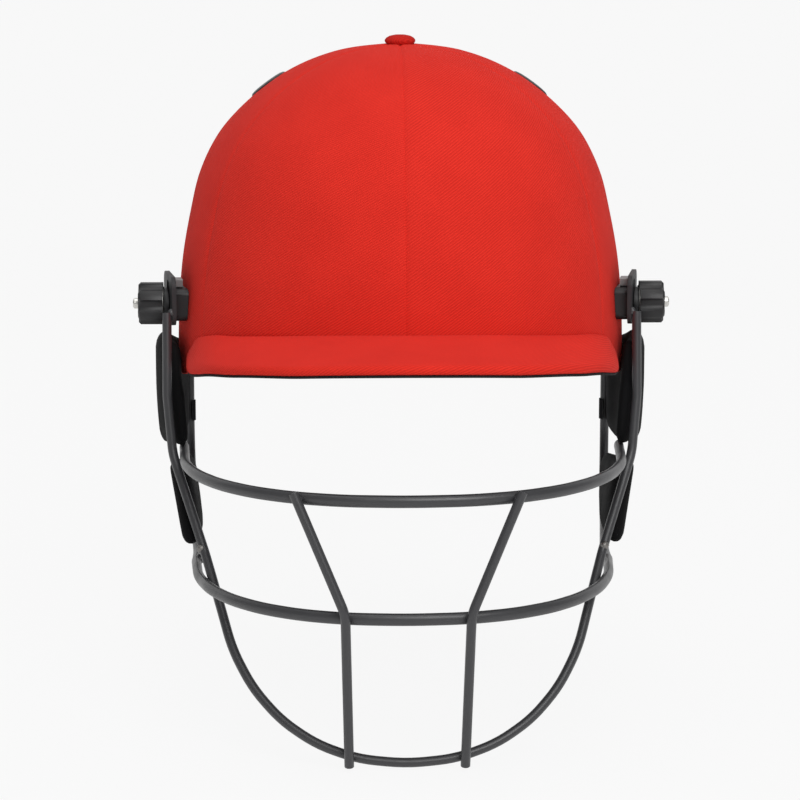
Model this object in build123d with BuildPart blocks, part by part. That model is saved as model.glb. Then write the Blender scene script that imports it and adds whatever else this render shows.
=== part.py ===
"""A cricket helmet: cloth-covered shell with a peak, and a wire grille on two slotted plates.

The front faces -Y, +X is the wearer's left and +Z is up. The origin is the centre of the head opening,
level with the brow, where the head carries the helmet. All sizes are in millimetres.
"""

import math
import os

from build123d import *

os.makedirs("parts", exist_ok=True)

# Sizes that serve every cut and every glued or welded joint
OVERRUN = 4.0
GLUE_GAP = 0.2
SEAT_GAP = 0.3
WELD_GAP = 0.12
RUNNING_GAP = 0.35

# Dome, measured over the cloth
DOME_HALF_WIDTH = 105.0
DOME_FRONT = 118.0
DOME_REAR = 128.0
CROWN_HEIGHT = 119.6
DOME_SKIRT = 62.0
CLOTH_T = 1.2
SHELL_T = 3.0
CROWN_HOLE_R = 3.5
# Half width and height of the front profile, as shares of the half width and of the crown's height
DOME_PROFILE_SHARES = [
    (0.286, 0.976),
    (0.505, 0.898),
    (0.676, 0.789),
    (0.806, 0.664),
    (0.895, 0.507),
    (0.941, 0.351),
    (0.975, 0.195),
    (0.992, 0.050),
    (1.0, -0.120),
]

# Lower rim of the shell, as heights over the origin at four places from brow to nape
BROW_Z = -2.5
TEMPLE_Z = -28.0
EAR_Z = -31.5
NAPE_Z = -44.0
RIM_TRIM_H = 2.5
RIM_PLACE_SHARES = {"brow_side": -0.80, "cheek": -0.50, "temple": -0.30, "ear": 0.05, "neck": 0.62}
CHEEK_DROP_SHARE = 0.44

# Cloth panels and the button that ties them at the crown
SEAM_GAP = 0.5
SEAM_ANGLE = 58.0
BUTTON_R = 7.2
BUTTON_RISE = 6.0
BUTTON_SKIRT = 1.0
BUTTON_STEM_R = 2.4
BUTTON_STEM_H = 10.4
BUTTON_WASHER_R = 7.0
BUTTON_WASHER_T = 1.2

# Peak
PEAK_HALF_WIDTH = 99.5
PEAK_BACK_Y = -42.0
PEAK_FRONT_Y = -168.0
PEAK_POWER = 2.2
PEAK_ROOT_Z = 1.4
PEAK_SLOPE = 6.2
PEAK_T = 5.2
PEAK_CLOTH_T = 1.0
PEAK_LINING_T = 1.3
# Droop of the arched peak at shares of its half width, as shares of the same half width
PEAK_ARCH_SHARES = [(0.0, 0.0), (0.45, 0.032), (0.75, 0.102), (0.885, 0.166), (0.985, 0.27), (1.04, 0.36)]
PEAK_EDGE_COUNT = 12

# Vents in the rear half of the crown
VENT_X = 60.0
VENT_Y = 36.0
VENT_LENGTH = 66.0
VENT_WIDTH = 19.0
VENT_PROUD = 1.8
VENT_LEAN = 38.0
VENT_HOLE_MARGIN = 4.0
VENT_LOUVRE_W = 3.2
VENT_LOUVRE_PITCH = 8.0
VENT_LOUVRE_COUNT = 6
VENT_TILT = 25.0

# Foam inside the shell
LINER_T = 11.0
LINER_GAP = 3.0
LINER_RIM_RISE = 3.0
CROWN_PAD_Z = 84.0
BROW_PAD_ANGLE = 47.0
REAR_PAD_ANGLE = 45.0
SWEATBAND_T = 1.8
SWEATBAND_H = 30.0
SWEATBAND_ANGLE = 62.0

# Grille bolts, one each side on a common line across the temples
BOLT_Y = -30.0
BOLT_Z = 2.5
BOLT_R = 2.5
BOLT_TIP_X = 124.6
BOLT_HEAD_R = 5.5
BOLT_HEAD_T = 3.0
BOLT_HOLE_GAP = 0.25
BACKING_R = 8.0
BACKING_T = 1.4

# Slotted side plates of the grille, turned so that the rear edge stands out
PLATE_X = 107.4
PLATE_LENGTH = 30.0
PLATE_HEIGHT = 22.6
PLATE_T = 2.0
PLATE_RISE = 2.5
PLATE_CORNER_R = 5.0
PLATE_YAW = 10.0
SLOT_W = 7.6
SLOT_LENGTH = 17.0

# Spacer block between shell and plate, and the clip on it
SPACER_W = 17.0
SPACER_H = 15.0
SPACER_CORNER_R = 3.0
CLIP_W = 7.0
CLIP_H = 4.0
CLIP_T = 1.2

# Keyed wedge washer in each slot
GUIDE_KEY_H = 8.0
GUIDE_KEY_END_R = 3.4
GUIDE_FLANGE_R = 7.0
GUIDE_FACE_X = 110.3
GUIDE_SIDE_GAP = 0.2

# Clamp knobs
KNOB_R = 9.8
KNOB_BASE_X = 110.6
KNOB_END_X = 122.0
KNOB_LOBES = 6
KNOB_FLUTE_R = 3.4
KNOB_FLUTE_PLACE = 11.3
KNOB_EDGE_R = 1.0
KNOB_WASHER_R = 6.6
KNOB_WASHER_T = 1.0
KNOB_POCKET_GAP = 0.3
KNOB_NUT_AF = 8.0
KNOB_NUT_T = 4.0

# Grille wires
BAR_HEIGHT = 5.5
BAR_DEPTH = 4.5
WIRE_D = 4.3
BAR_POWER = 2.3
BAR_COUNT = 14
BAR_BACK_Y = -50.0
BAR_FRONT_Y = -162.0
TOP_BAR_Z = -64.0
TOP_BAR_HALF = 101.3
TOP_BAR_END_Y = -39.0
SECOND_BAR_Z = -116.0
SECOND_BAR_HALF = 95.8
CHIN_TOP_Z = -104.0
CHIN_BOTTOM_Z = -186.6
CHIN_HALF = 85.3
CHIN_TOP_Y = -82.0
CHIN_BOTTOM_Y = -141.0
CHIN_POWER = 2.2
CHIN_COUNT = 14
CHIN_LEAD = 3.0
UPRIGHT_TOP_X = 49.3
UPRIGHT_KINK_X = 27.2
UPRIGHT_FOOT_X = 25.6
UPRIGHT_OVER = 3.0
UPRIGHT_KINK_OUT = 1.3
UPRIGHT_KINK_R = 14.0
RISER_TOP_Z = 0.0
RISER_TOP_Y = -43.5
RISER_KNEE_Y = -50.0
RISER_KNEE_Z = -38.0
RISER_BEND_R = 40.0
STAY_END_X = 91.4
STAY_END_Y = -78.0
STAY_END_Z = -103.0
STAY_BEND_R = 22.0

# Ear loop: its bends, as shares of the dome's half width, of its rear length and of the second bar's height
LOOP_START_GAP = 0.8
LOOP_BEND_SHARES = [
    (1.057, -0.047, 0.0),
    (1.041, 0.172, 0.052),
    (0.985, 0.352, 0.138),
    (0.975, 0.398, 0.310),
    (0.975, 0.398, 0.700),
    (0.960, 0.266, 0.860),
    (0.937, 0.0, 0.960),
]
LOOP_FOOT_Y = -30.0

# Ear pad, jaw pad and the strap that ties the ear pad to the rear wire
PAD_IN = 1.7
PAD_OUT = 11.0
EAR_PAD_TOP_Z = -14.5
EAR_PAD_FRONT_Y = -41.6
EAR_PAD_STEP_Z = -29.0
EAR_PAD_REAR_Y = 45.0
EAR_PAD_CORNER_R = 5.0
# Corners behind the front edge, as shares of the way back to the rear edge and of the pad's height
EAR_PAD_SHARES = {
    "crest": (0.45, 0.0),
    "rear_top": (0.99, 0.27),
    "rear_low": (1.0, 1.22),
    "heel": (0.80, 1.30),
    "bar_end": (0.05, 1.0),
}
JAW_PAD_TOP_X = 108.8
JAW_PAD_LEAN = 12.0
JAW_PAD_LENGTH = 88.0
JAW_PAD_HEIGHT = 36.5
JAW_PAD_T = 9.5
JAW_PAD_CORNER_R = 6.0
JAW_PAD_BAR_SHARE = 0.55
# Corners behind the front edge, as shares of the pad's length at its top and of its height
JAW_PAD_SHARES = {"top": (0.89, 0.36), "rear": (1.0, 0.60), "belly": (0.69, 0.84), "sole": (0.28, 1.0)}
STRAP_T = 1.2
STRAP_W = 10.0
STRAP_Z = -63.0

# Layers of the dome, as insets from the cloth's surface
SHELL_OUT = CLOTH_T + GLUE_GAP
SHELL_IN = SHELL_OUT + SHELL_T
LINER_OUT = SHELL_IN + GLUE_GAP
LINER_IN = LINER_OUT + LINER_T
BAND_OUT = LINER_IN + GLUE_GAP
BAND_IN = BAND_OUT + SWEATBAND_T
REACH = 2 * (DOME_REAR + DOME_FRONT)


def save(piece, name):
    """Labels a finished piece and writes it under its name."""
    piece.label = name
    export_step(piece, f"parts/{name}.step")
    print(f"{name}: {len(piece.solids())} solid, {piece.volume:.0f} mm3")


def mirrored(piece):
    """The same piece on the wearer's other side."""
    return mirror(piece, about=Plane.YZ, mode=Mode.PRIVATE)


def save_pair(piece, name):
    """Writes a left piece and its mirror image."""
    save(piece, f"{name}_left")
    save(mirrored(piece), f"{name}_right")


def superellipse(half, depth, power, count):
    """Points from one side over the far point to the other, as (across, along)."""
    points = []
    for i in range(count + 1):
        turn = math.pi * i / count
        across = math.copysign(abs(math.cos(turn)) ** (2 / power), math.cos(turn))
        along = math.sin(turn) ** (2 / power)
        points.append((half * across, depth * along))
    return points


def dome(inset):
    """Solid dome, inset inside the cloth's surface: a round dome with each half stretched to length."""
    half = DOME_HALF_WIDTH - inset
    crown = CROWN_HEIGHT - inset
    skirt_z = -DOME_SKIRT
    outline = [(half * r, crown * z) for r, z in DOME_PROFILE_SHARES]
    with BuildPart() as round_dome:
        with BuildSketch(Plane.XZ):
            with BuildLine():
                Spline((0, crown), *outline, (half, skirt_z), tangents=((1, 0), (0, -1)))
                Polyline((half, skirt_z), (0, skirt_z), (0, crown))
            make_face()
        revolve(axis=Axis.Z)
    front_ratio = (DOME_FRONT - inset) / half
    rear_ratio = (DOME_REAR - inset) / half
    front = split(round_dome.part, bisect_by=Plane.XZ, keep=Keep.TOP, mode=Mode.PRIVATE)
    rear = split(round_dome.part, bisect_by=Plane.XZ, keep=Keep.BOTTOM, mode=Mode.PRIVATE)
    with BuildPart() as long_dome:
        add(scale(front, by=(1, front_ratio, 1), mode=Mode.PRIVATE))
        add(scale(rear, by=(1, rear_ratio, 1), mode=Mode.PRIVATE))
    return long_dome.part


def wall_share_at(z):
    """How wide the dome's profile is at a height, as a share of the widest."""
    height = z / CROWN_HEIGHT
    for (upper_r, upper_z), (lower_r, lower_z) in zip(DOME_PROFILE_SHARES, DOME_PROFILE_SHARES[1:]):
        if upper_z >= height >= lower_z:
            return lower_r + (upper_r - lower_r) * (height - lower_z) / (upper_z - lower_z)
    return 1.0


def half_width_at(y, z, inset):
    """Half width of the dome's side wall at a place along the helmet and at a height."""
    length = (DOME_FRONT if y < 0 else DOME_REAR) - inset
    return (DOME_HALF_WIDTH - inset) * wall_share_at(z) * math.sqrt(max(0.0, 1 - (y / length) ** 2))


def rim_points(rise):
    """The rim's line from the front to the back, seen from the side."""
    place = {name: share * (DOME_FRONT if share < 0 else DOME_REAR) for name, share in RIM_PLACE_SHARES.items()}
    cheek_z = BROW_Z + CHEEK_DROP_SHARE * (TEMPLE_Z - BROW_Z)
    return [
        (-DOME_FRONT - OVERRUN, BROW_Z + rise),
        (place["brow_side"], BROW_Z + rise + CHEEK_DROP_SHARE * BROW_Z),
        (place["cheek"], cheek_z + rise),
        (place["temple"], TEMPLE_Z + rise),
        (place["ear"], EAR_Z + rise),
        (place["neck"], (EAR_Z + NAPE_Z) / 2 + rise),
        (DOME_REAR + OVERRUN, NAPE_Z + rise),
    ]


def below_rim(rise=0.0):
    """Everything under the rim's line."""
    points = rim_points(rise)
    low = -REACH
    with BuildPart() as under:
        with BuildSketch(Plane.YZ):
            with BuildLine():
                Spline(*points)
                Polyline(points[-1], (points[-1][0], low), (points[0][0], low), points[0])
            make_face()
        extrude(amount=REACH, both=True)
    return under.part


def bolt_line(radius, from_x, to_x):
    """Round bar along the left bolt's line."""
    with BuildPart() as bar:
        with BuildSketch(Plane(origin=(from_x, BOLT_Y, BOLT_Z), x_dir=(0, 1, 0), z_dir=(1, 0, 0))):
            Circle(radius)
        extrude(amount=to_x - from_x)
    return bar.part


def tube(points, radii, diameter):
    """Round wire along straight runs joined by tangent arcs."""
    with BuildPart() as wire:
        with BuildLine():
            run = FilletPolyline(*points, radius=radii)
        with BuildSketch(Plane(origin=run @ 0, z_dir=run % 0)):
            Circle(diameter / 2)
        sweep()
    return wire.part


def bend_radii(points, share=0.42):
    """A radius for each corner, as large as the two runs beside it allow."""
    radii = []
    for before, corner, after in zip(points, points[1:], points[2:]):
        a, b, c = Vector(*before), Vector(*corner), Vector(*after)
        turn = math.radians((b - a).get_angle(c - b))
        radii.append(share * min((b - a).length, (c - b).length) / math.tan(turn / 2))
    return radii


dome_clear = dome(-GLUE_GAP)
dome_cloth = dome(0.0)
dome_shell = dome(SHELL_OUT)
dome_inner = dome(SHELL_IN)
dome_liner = dome(LINER_OUT)
dome_liner_in = dome(LINER_IN)
under_rim = below_rim()
under_trim = below_rim(RIM_TRIM_H)
bolt_hole = bolt_line(BOLT_R + BOLT_HOLE_GAP, 0, BOLT_TIP_X)

# Vents

vent_out = Vector(math.sin(math.radians(VENT_LEAN)), 0, math.cos(math.radians(VENT_LEAN)))
vent_z = CROWN_HEIGHT * math.sqrt(1 - (VENT_X / DOME_HALF_WIDTH) ** 2)
vent_plane = Plane(origin=(VENT_X, VENT_Y, vent_z), x_dir=(0, 1, 0), z_dir=vent_out)


def vent_prism(grow):
    """Long oval block through the dome, square to the surface at the vent."""
    with BuildPart() as prism:
        with BuildSketch(vent_plane):
            SlotOverall(VENT_LENGTH + 2 * grow, VENT_WIDTH + 2 * grow)
        extrude(amount=VENT_WIDTH, both=True)
    return prism.part


def vent_louvres():
    """Slanted cuts that let the air through the vent."""
    slot_length = VENT_WIDTH - 2 * VENT_HOLE_MARGIN
    with BuildPart() as cuts:
        with BuildSketch(vent_plane):
            with GridLocations(VENT_LOUVRE_PITCH, 0, VENT_LOUVRE_COUNT, 1):
                SlotOverall(slot_length, VENT_LOUVRE_W, rotation=90 - VENT_TILT)
        extrude(amount=VENT_WIDTH, both=True)
    return cuts.part


with BuildPart() as vent:
    add(dome(-VENT_PROUD))
    add(vent_prism(0.0), mode=Mode.INTERSECT)
    add(dome_cloth, mode=Mode.SUBTRACT)
vent_cap = vent.part
with BuildPart() as vent_neck:
    add(vent_prism(-VENT_HOLE_MARGIN))
    add(dome_cloth, mode=Mode.INTERSECT)
    add(dome_inner, mode=Mode.SUBTRACT)
with BuildPart() as vent_whole:
    add(vent_cap)
    add(vent_neck.part)
    add(vent_louvres(), mode=Mode.SUBTRACT)
save_pair(vent_whole.part, "vent")
vent_hole = vent_prism(GLUE_GAP - VENT_HOLE_MARGIN)

# Hard shell, its left half mirrored, and the trim that closes its edge

with BuildPart() as half_shell:
    add(dome_shell)
    add(dome_inner, mode=Mode.SUBTRACT)
    add(under_trim, mode=Mode.SUBTRACT)
    split(bisect_by=Plane.YZ)
    add(bolt_hole, mode=Mode.SUBTRACT)
    with Locations((0, 0, CROWN_HEIGHT)):
        Cylinder(CROWN_HOLE_R, CROWN_HEIGHT, mode=Mode.SUBTRACT)
    add(vent_hole, mode=Mode.SUBTRACT)
with BuildPart() as shell:
    add(half_shell.part)
    add(mirrored(half_shell.part))
save(shell.part, "shell")

with BuildPart() as rim_trim:
    add(dome_shell)
    add(dome_inner, mode=Mode.SUBTRACT)
    add(below_rim(RIM_TRIM_H - GLUE_GAP), mode=Mode.INTERSECT)
    add(under_rim, mode=Mode.SUBTRACT)
save(rim_trim.part, "rim_trim")

# Six cloth panels, three on each side

with BuildPart() as cloth:
    add(dome_cloth)
    add(dome(CLOTH_T), mode=Mode.SUBTRACT)
    add(under_rim, mode=Mode.SUBTRACT)
    with Locations((0, 0, CROWN_HEIGHT)):
        Cylinder(CROWN_HOLE_R, CROWN_HEIGHT, mode=Mode.SUBTRACT)
    add(vent_hole, mode=Mode.SUBTRACT)
    add(bolt_hole, mode=Mode.SUBTRACT)
    for angle in (0.0, SEAM_ANGLE, -SEAM_ANGLE):
        with Locations(Location((0, 0, 0), (0, 0, angle))):
            Box(SEAM_GAP, REACH, REACH, mode=Mode.SUBTRACT)

left_panels = [solid for solid in cloth.part.solids() if solid.center(CenterOf.BOUNDING_BOX).X > 0]
front_to_back = sorted(left_panels, key=lambda solid: solid.center(CenterOf.BOUNDING_BOX).Y)
for place, solid in zip(("front_panel", "side_panel", "rear_panel"), front_to_back):
    with BuildPart() as panel:
        add(solid)
    save_pair(panel.part, place)

# Crown button on its stem, and the washer that holds it inside the shell

with BuildPart() as button:
    with BuildSketch(Plane.XZ):
        with BuildLine():
            crest = CROWN_HEIGHT + BUTTON_RISE
            Spline((BUTTON_R, CROWN_HEIGHT), (0, crest), tangents=((0, 1), (-1, 0)))
            Polyline((0, crest), (0, CROWN_HEIGHT - BUTTON_SKIRT), (BUTTON_R, CROWN_HEIGHT - BUTTON_SKIRT))
            Line((BUTTON_R, CROWN_HEIGHT - BUTTON_SKIRT), (BUTTON_R, CROWN_HEIGHT))
        make_face()
    revolve(axis=Axis.Z)
    add(dome_clear, mode=Mode.SUBTRACT)
    with Locations((0, 0, CROWN_HEIGHT + BUTTON_RISE / 2)):
        Cylinder(BUTTON_STEM_R, BUTTON_STEM_H, align=(Align.CENTER, Align.CENTER, Align.MAX))
save(button.part, "crown_button")

with BuildPart() as button_washer:
    with BuildSketch(Plane.XY.offset(CROWN_HEIGHT - SHELL_IN - BUTTON_WASHER_T - SEAT_GAP)):
        Circle(BUTTON_WASHER_R)
        Circle(BUTTON_STEM_R + GLUE_GAP, mode=Mode.SUBTRACT)
    extrude(amount=BUTTON_WASHER_T)
save(button_washer.part, "button_washer")

# Peak: cloth over a stiff board, with a dark lining under it

PEAK_DIR = Vector(0, -math.cos(math.radians(PEAK_SLOPE)), -math.sin(math.radians(PEAK_SLOPE)))


def peak_slab(from_depth, to_depth):
    """Arched slab between two depths under the peak's top face."""
    start_y = PEAK_BACK_Y + DOME_FRONT / 4
    start_z = PEAK_ROOT_Z + (start_y + DOME_FRONT) * math.tan(math.radians(PEAK_SLOPE))
    side = [(PEAK_HALF_WIDTH * x, -PEAK_HALF_WIDTH * z) for x, z in PEAK_ARCH_SHARES]
    arch = [(-x, z) for x, z in reversed(side[1:])] + side
    upper = [(x, z - from_depth) for x, z in arch]
    lower = [(x, z - to_depth) for x, z in arch]
    with BuildPart() as slab:
        with BuildSketch(Plane(origin=(0, start_y, start_z), x_dir=(1, 0, 0), z_dir=PEAK_DIR)):
            with BuildLine():
                Spline(*upper)
                Line(upper[-1], lower[-1])
                Spline(*lower)
                Line(lower[0], upper[0])
            make_face()
        extrude(amount=REACH)
    return slab.part


def peak_outline(inset):
    """Upright block with the peak's outline in plan, run on past the peak's rear edge where it is inset."""
    half = PEAK_HALF_WIDTH - inset
    depth = PEAK_BACK_Y - PEAK_FRONT_Y - inset
    rear_y = PEAK_BACK_Y + inset
    edge = [(x, PEAK_BACK_Y - y) for x, y in superellipse(half, depth, PEAK_POWER, PEAK_EDGE_COUNT)]
    with BuildPart() as block:
        with BuildSketch(Plane.XY):
            with BuildLine():
                Spline(*edge, tangents=((0, -1), (0, 1)))
                if inset:
                    Polyline(edge[-1], (-half, rear_y), (half, rear_y), edge[0])
                else:
                    Line(edge[-1], edge[0])
            make_face()
        extrude(amount=REACH, both=True)
    return block.part


lining_top = PEAK_T - PEAK_LINING_T
with BuildPart() as peak_core:
    add(peak_slab(PEAK_CLOTH_T, PEAK_T + OVERRUN))
    add(peak_outline(PEAK_CLOTH_T), mode=Mode.INTERSECT)
with BuildPart() as peak_cloth:
    add(peak_slab(0.0, lining_top - GLUE_GAP))
    add(peak_outline(0.0), mode=Mode.INTERSECT)
    add(dome_clear, mode=Mode.SUBTRACT)
    add(peak_core.part, mode=Mode.SUBTRACT)
save(peak_cloth.part, "peak_cloth")
with BuildPart() as peak_board:
    add(peak_slab(PEAK_CLOTH_T + GLUE_GAP, lining_top - GLUE_GAP))
    add(peak_outline(PEAK_CLOTH_T + GLUE_GAP), mode=Mode.INTERSECT)
    add(peak_outline(0.0), mode=Mode.INTERSECT)
    add(dome_clear, mode=Mode.SUBTRACT)
save(peak_board.part, "peak_board")
with BuildPart() as peak_lining:
    add(peak_slab(lining_top, PEAK_T))
    add(peak_outline(0.0), mode=Mode.INTERSECT)
    add(dome_clear, mode=Mode.SUBTRACT)
save(peak_lining.part, "peak_lining")

# Foam pads under the shell

crown_cut_z = CROWN_PAD_Z - LINER_GAP
bolt_pocket = bolt_line(BACKING_R + LINER_GAP, 0, DOME_HALF_WIDTH)
with BuildPart() as foam:
    add(dome_liner)
    add(dome_liner_in, mode=Mode.SUBTRACT)
    add(below_rim(LINER_RIM_RISE), mode=Mode.SUBTRACT)
    add(bolt_pocket, mode=Mode.SUBTRACT)


def sector(angle, to_front):
    """Upright wedge to the front or the back, its half angle given."""
    reach_y = -REACH if to_front else REACH
    reach_x = REACH * math.tan(math.radians(angle))
    with BuildPart() as wedge:
        with BuildSketch(Plane.XY):
            Polygon((0, 0), (reach_x, reach_y), (-reach_x, reach_y), align=None)
        extrude(amount=REACH, both=True)
    return wedge.part


with BuildPart() as above:
    with Locations((0, 0, CROWN_PAD_Z)):
        Box(REACH, REACH, REACH, align=(Align.CENTER, Align.CENTER, Align.MIN))
with BuildPart() as crown_pad:
    add(foam.part)
    add(above.part, mode=Mode.INTERSECT)
    with Locations((0, 0, CROWN_HEIGHT)):
        Cylinder(BUTTON_WASHER_R + LINER_GAP, CROWN_HEIGHT, mode=Mode.SUBTRACT)
save(crown_pad.part, "crown_pad")
with BuildPart() as ring_foam:
    add(foam.part)
    with Locations((0, 0, crown_cut_z)):
        Box(REACH, REACH, REACH, align=(Align.CENTER, Align.CENTER, Align.MIN), mode=Mode.SUBTRACT)
with BuildPart() as brow_pad:
    add(ring_foam.part)
    add(sector(BROW_PAD_ANGLE, True), mode=Mode.INTERSECT)
save(brow_pad.part, "brow_pad")
with BuildPart() as rear_pad:
    add(ring_foam.part)
    add(sector(REAR_PAD_ANGLE, False), mode=Mode.INTERSECT)
save(rear_pad.part, "rear_pad")
side_turn = math.degrees(LINER_GAP / DOME_HALF_WIDTH)
with BuildPart() as side_pad:
    add(ring_foam.part)
    add(sector(BROW_PAD_ANGLE + side_turn, True), mode=Mode.SUBTRACT)
    add(sector(REAR_PAD_ANGLE + side_turn, False), mode=Mode.SUBTRACT)
    with Locations((-REACH / 2, 0, 0)):
        Box(REACH, REACH, REACH, mode=Mode.SUBTRACT)
save_pair(side_pad.part, "side_pad")

with BuildPart() as sweatband:
    add(dome(BAND_OUT))
    add(dome(BAND_IN), mode=Mode.SUBTRACT)
    add(below_rim(LINER_RIM_RISE), mode=Mode.SUBTRACT)
    add(below_rim(LINER_RIM_RISE + SWEATBAND_H), mode=Mode.INTERSECT)
    add(sector(SWEATBAND_ANGLE, True), mode=Mode.INTERSECT)
save(sweatband.part, "sweatband")

# Bolts, backing washers, spacers and clips

backing_out_x = half_width_at(BOLT_Y - BACKING_R, BOLT_Z + BACKING_R, SHELL_IN) - GLUE_GAP
backing_in_x = backing_out_x - BACKING_T
head_in_x = backing_in_x - GLUE_GAP - BOLT_HEAD_T
with BuildPart() as bolt:
    add(bolt_line(BOLT_R, head_in_x, BOLT_TIP_X))
    chamfer(bolt.faces().sort_by(Axis.X)[-1].edges(), BOLT_R / 4)
    add(bolt_line(BOLT_HEAD_R, head_in_x, head_in_x + BOLT_HEAD_T))
    fillet(bolt.faces().sort_by(Axis.X)[0].edges(), BOLT_HEAD_T / 3)
save_pair(bolt.part, "bolt")
with BuildPart() as backing:
    add(bolt_line(BACKING_R, backing_in_x, backing_out_x))
    add(bolt_hole, mode=Mode.SUBTRACT)
save_pair(backing.part, "backing_washer")

plate_z = BOLT_Z + PLATE_RISE
yaw = math.radians(PLATE_YAW)
plate_along = Vector(math.sin(yaw), math.cos(yaw), 0)
plate_out = Vector(math.cos(yaw), -math.sin(yaw), 0)
plate_centre = Vector(PLATE_X, BOLT_Y, plate_z)


def plate_plane(outward):
    """The side plate's own plane, moved outward from its middle."""
    return Plane(origin=plate_centre + plate_out * outward, x_dir=plate_along, z_dir=plate_out)


def outboard_of_plate(gap):
    """Everything that lies further out than the plate's outer face."""
    with BuildPart() as beyond:
        with BuildSketch(plate_plane(PLATE_T / 2 + gap)):
            Rectangle(REACH, REACH)
        extrude(amount=REACH)
    return beyond.part


def inboard_of_plate(gap):
    """Everything that lies further in than the plate's inner face."""
    with BuildPart() as beyond:
        with BuildSketch(plate_plane(-PLATE_T / 2 - gap)):
            Rectangle(REACH, REACH)
        extrude(amount=-REACH)
    return beyond.part


def box_on_bolt(width, height, rise, corner_r):
    """Rounded block along the bolt's line, from the helmet's middle outward."""
    with BuildPart() as block:
        plane = Plane(origin=(DOME_HALF_WIDTH / 2, BOLT_Y, BOLT_Z + rise), x_dir=(0, 1, 0), z_dir=(1, 0, 0))
        with BuildSketch(plane):
            RectangleRounded(width, height, corner_r)
        extrude(amount=DOME_HALF_WIDTH)
    return block.part


with BuildPart() as spacer:
    add(box_on_bolt(SPACER_W, SPACER_H, 0, SPACER_CORNER_R))
    add(inboard_of_plate(RUNNING_GAP), mode=Mode.INTERSECT)
    add(dome_clear, mode=Mode.SUBTRACT)
    add(bolt_hole, mode=Mode.SUBTRACT)
save_pair(spacer.part, "spacer")

clip_rise = SPACER_H / 2 + CLIP_H / 2 + GLUE_GAP
with BuildPart() as clip:
    add(box_on_bolt(CLIP_W, CLIP_H, clip_rise, CLIP_T / 2))
    add(inboard_of_plate(RUNNING_GAP), mode=Mode.INTERSECT)
    add(inboard_of_plate(RUNNING_GAP + CLIP_H), mode=Mode.SUBTRACT)
save_pair(clip.part, "spacer_clip")

# Side plate with its slot

with BuildPart() as plate:
    with BuildSketch(plate_plane(-PLATE_T / 2)):
        RectangleRounded(PLATE_LENGTH, PLATE_HEIGHT, PLATE_CORNER_R)
        SlotOverall(SLOT_LENGTH, SLOT_W, rotation=90, mode=Mode.SUBTRACT)
    extrude(amount=PLATE_T)
save_pair(plate.part, "side_plate")

# Guide: a key in the slot under a wedge flange that gives the knob a face square to the bolt

with BuildPart() as flange:
    add(bolt_line(GUIDE_FLANGE_R, PLATE_X - OVERRUN, GUIDE_FACE_X))
    add(outboard_of_plate(RUNNING_GAP / 2), mode=Mode.INTERSECT)
with BuildPart() as guide:
    with BuildSketch(plate_plane(-PLATE_T / 2)):
        with Locations((0, -PLATE_RISE)):
            RectangleRounded(SLOT_W - 2 * GUIDE_SIDE_GAP, GUIDE_KEY_H, GUIDE_KEY_END_R)
    extrude(amount=PLATE_T + OVERRUN / 2)
    add(flange.part)
    add(bolt_line(KNOB_R, GUIDE_FACE_X, GUIDE_FACE_X + OVERRUN), mode=Mode.SUBTRACT)
    add(bolt_hole, mode=Mode.SUBTRACT)
save_pair(guide.part, "slot_guide")

# Clamp knob with its captive washer and nut

washer_in_x = GUIDE_FACE_X + RUNNING_GAP / 2
washer_out_x = washer_in_x + KNOB_WASHER_T
pocket_x = washer_out_x + GLUE_GAP
nut_r = KNOB_NUT_AF / math.sqrt(3)
with BuildPart() as knob:
    with BuildSketch(Plane(origin=(KNOB_BASE_X, BOLT_Y, BOLT_Z), x_dir=(0, 1, 0), z_dir=(1, 0, 0))):
        Circle(KNOB_R)
        with PolarLocations(KNOB_FLUTE_PLACE, KNOB_LOBES):
            Circle(KNOB_FLUTE_R, mode=Mode.SUBTRACT)
    extrude(amount=KNOB_END_X - KNOB_BASE_X)
    chamfer(knob.faces().sort_by(Axis.X)[-1].edges(), KNOB_EDGE_R)
    add(bolt_line(KNOB_WASHER_R + KNOB_POCKET_GAP, KNOB_BASE_X - OVERRUN, pocket_x), mode=Mode.SUBTRACT)
    add(bolt_hole, mode=Mode.SUBTRACT)
    nut_plane = Plane(origin=(pocket_x, BOLT_Y, BOLT_Z), x_dir=(0, 1, 0), z_dir=(1, 0, 0))
    with BuildSketch(nut_plane):
        RegularPolygon(nut_r + GLUE_GAP, 6)
    extrude(amount=KNOB_NUT_T + GLUE_GAP, mode=Mode.SUBTRACT)
save_pair(knob.part, "knob")
with BuildPart() as nut:
    with BuildSketch(nut_plane.offset(GLUE_GAP / 2)):
        RegularPolygon(nut_r, 6)
        Circle(BOLT_R + WELD_GAP / 2, mode=Mode.SUBTRACT)
    extrude(amount=KNOB_NUT_T)
save_pair(nut.part, "knob_nut")
with BuildPart() as knob_washer:
    add(bolt_line(KNOB_WASHER_R, washer_in_x, washer_out_x))
    add(bolt_hole, mode=Mode.SUBTRACT)
save_pair(knob_washer.part, "knob_washer")

# Front bars of the grille


def front_bar(half, height, end_y):
    """Oval bar bent to one flat curve across the face, with straight ends to the rear."""
    depth = BAR_BACK_Y - BAR_FRONT_Y
    curve = superellipse(half, depth, BAR_POWER, BAR_COUNT)
    points = [(x, BAR_BACK_Y - y, height) for x, y in curve]
    points = [(half, end_y, height)] + points[1:-1] + [(-half, end_y, height)]
    with BuildPart() as bar:
        with BuildLine():
            run = FilletPolyline(*points, radius=bend_radii(points))
        with BuildSketch(Plane(origin=run @ 0, x_dir=(0, 0, 1), z_dir=run % 0)):
            Ellipse(BAR_HEIGHT / 2, BAR_DEPTH / 2)
        sweep()
    return bar.part


save(front_bar(TOP_BAR_HALF, TOP_BAR_Z, TOP_BAR_END_Y), "top_bar")
save(front_bar(SECOND_BAR_HALF, SECOND_BAR_Z, BAR_BACK_Y), "second_bar")

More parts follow.
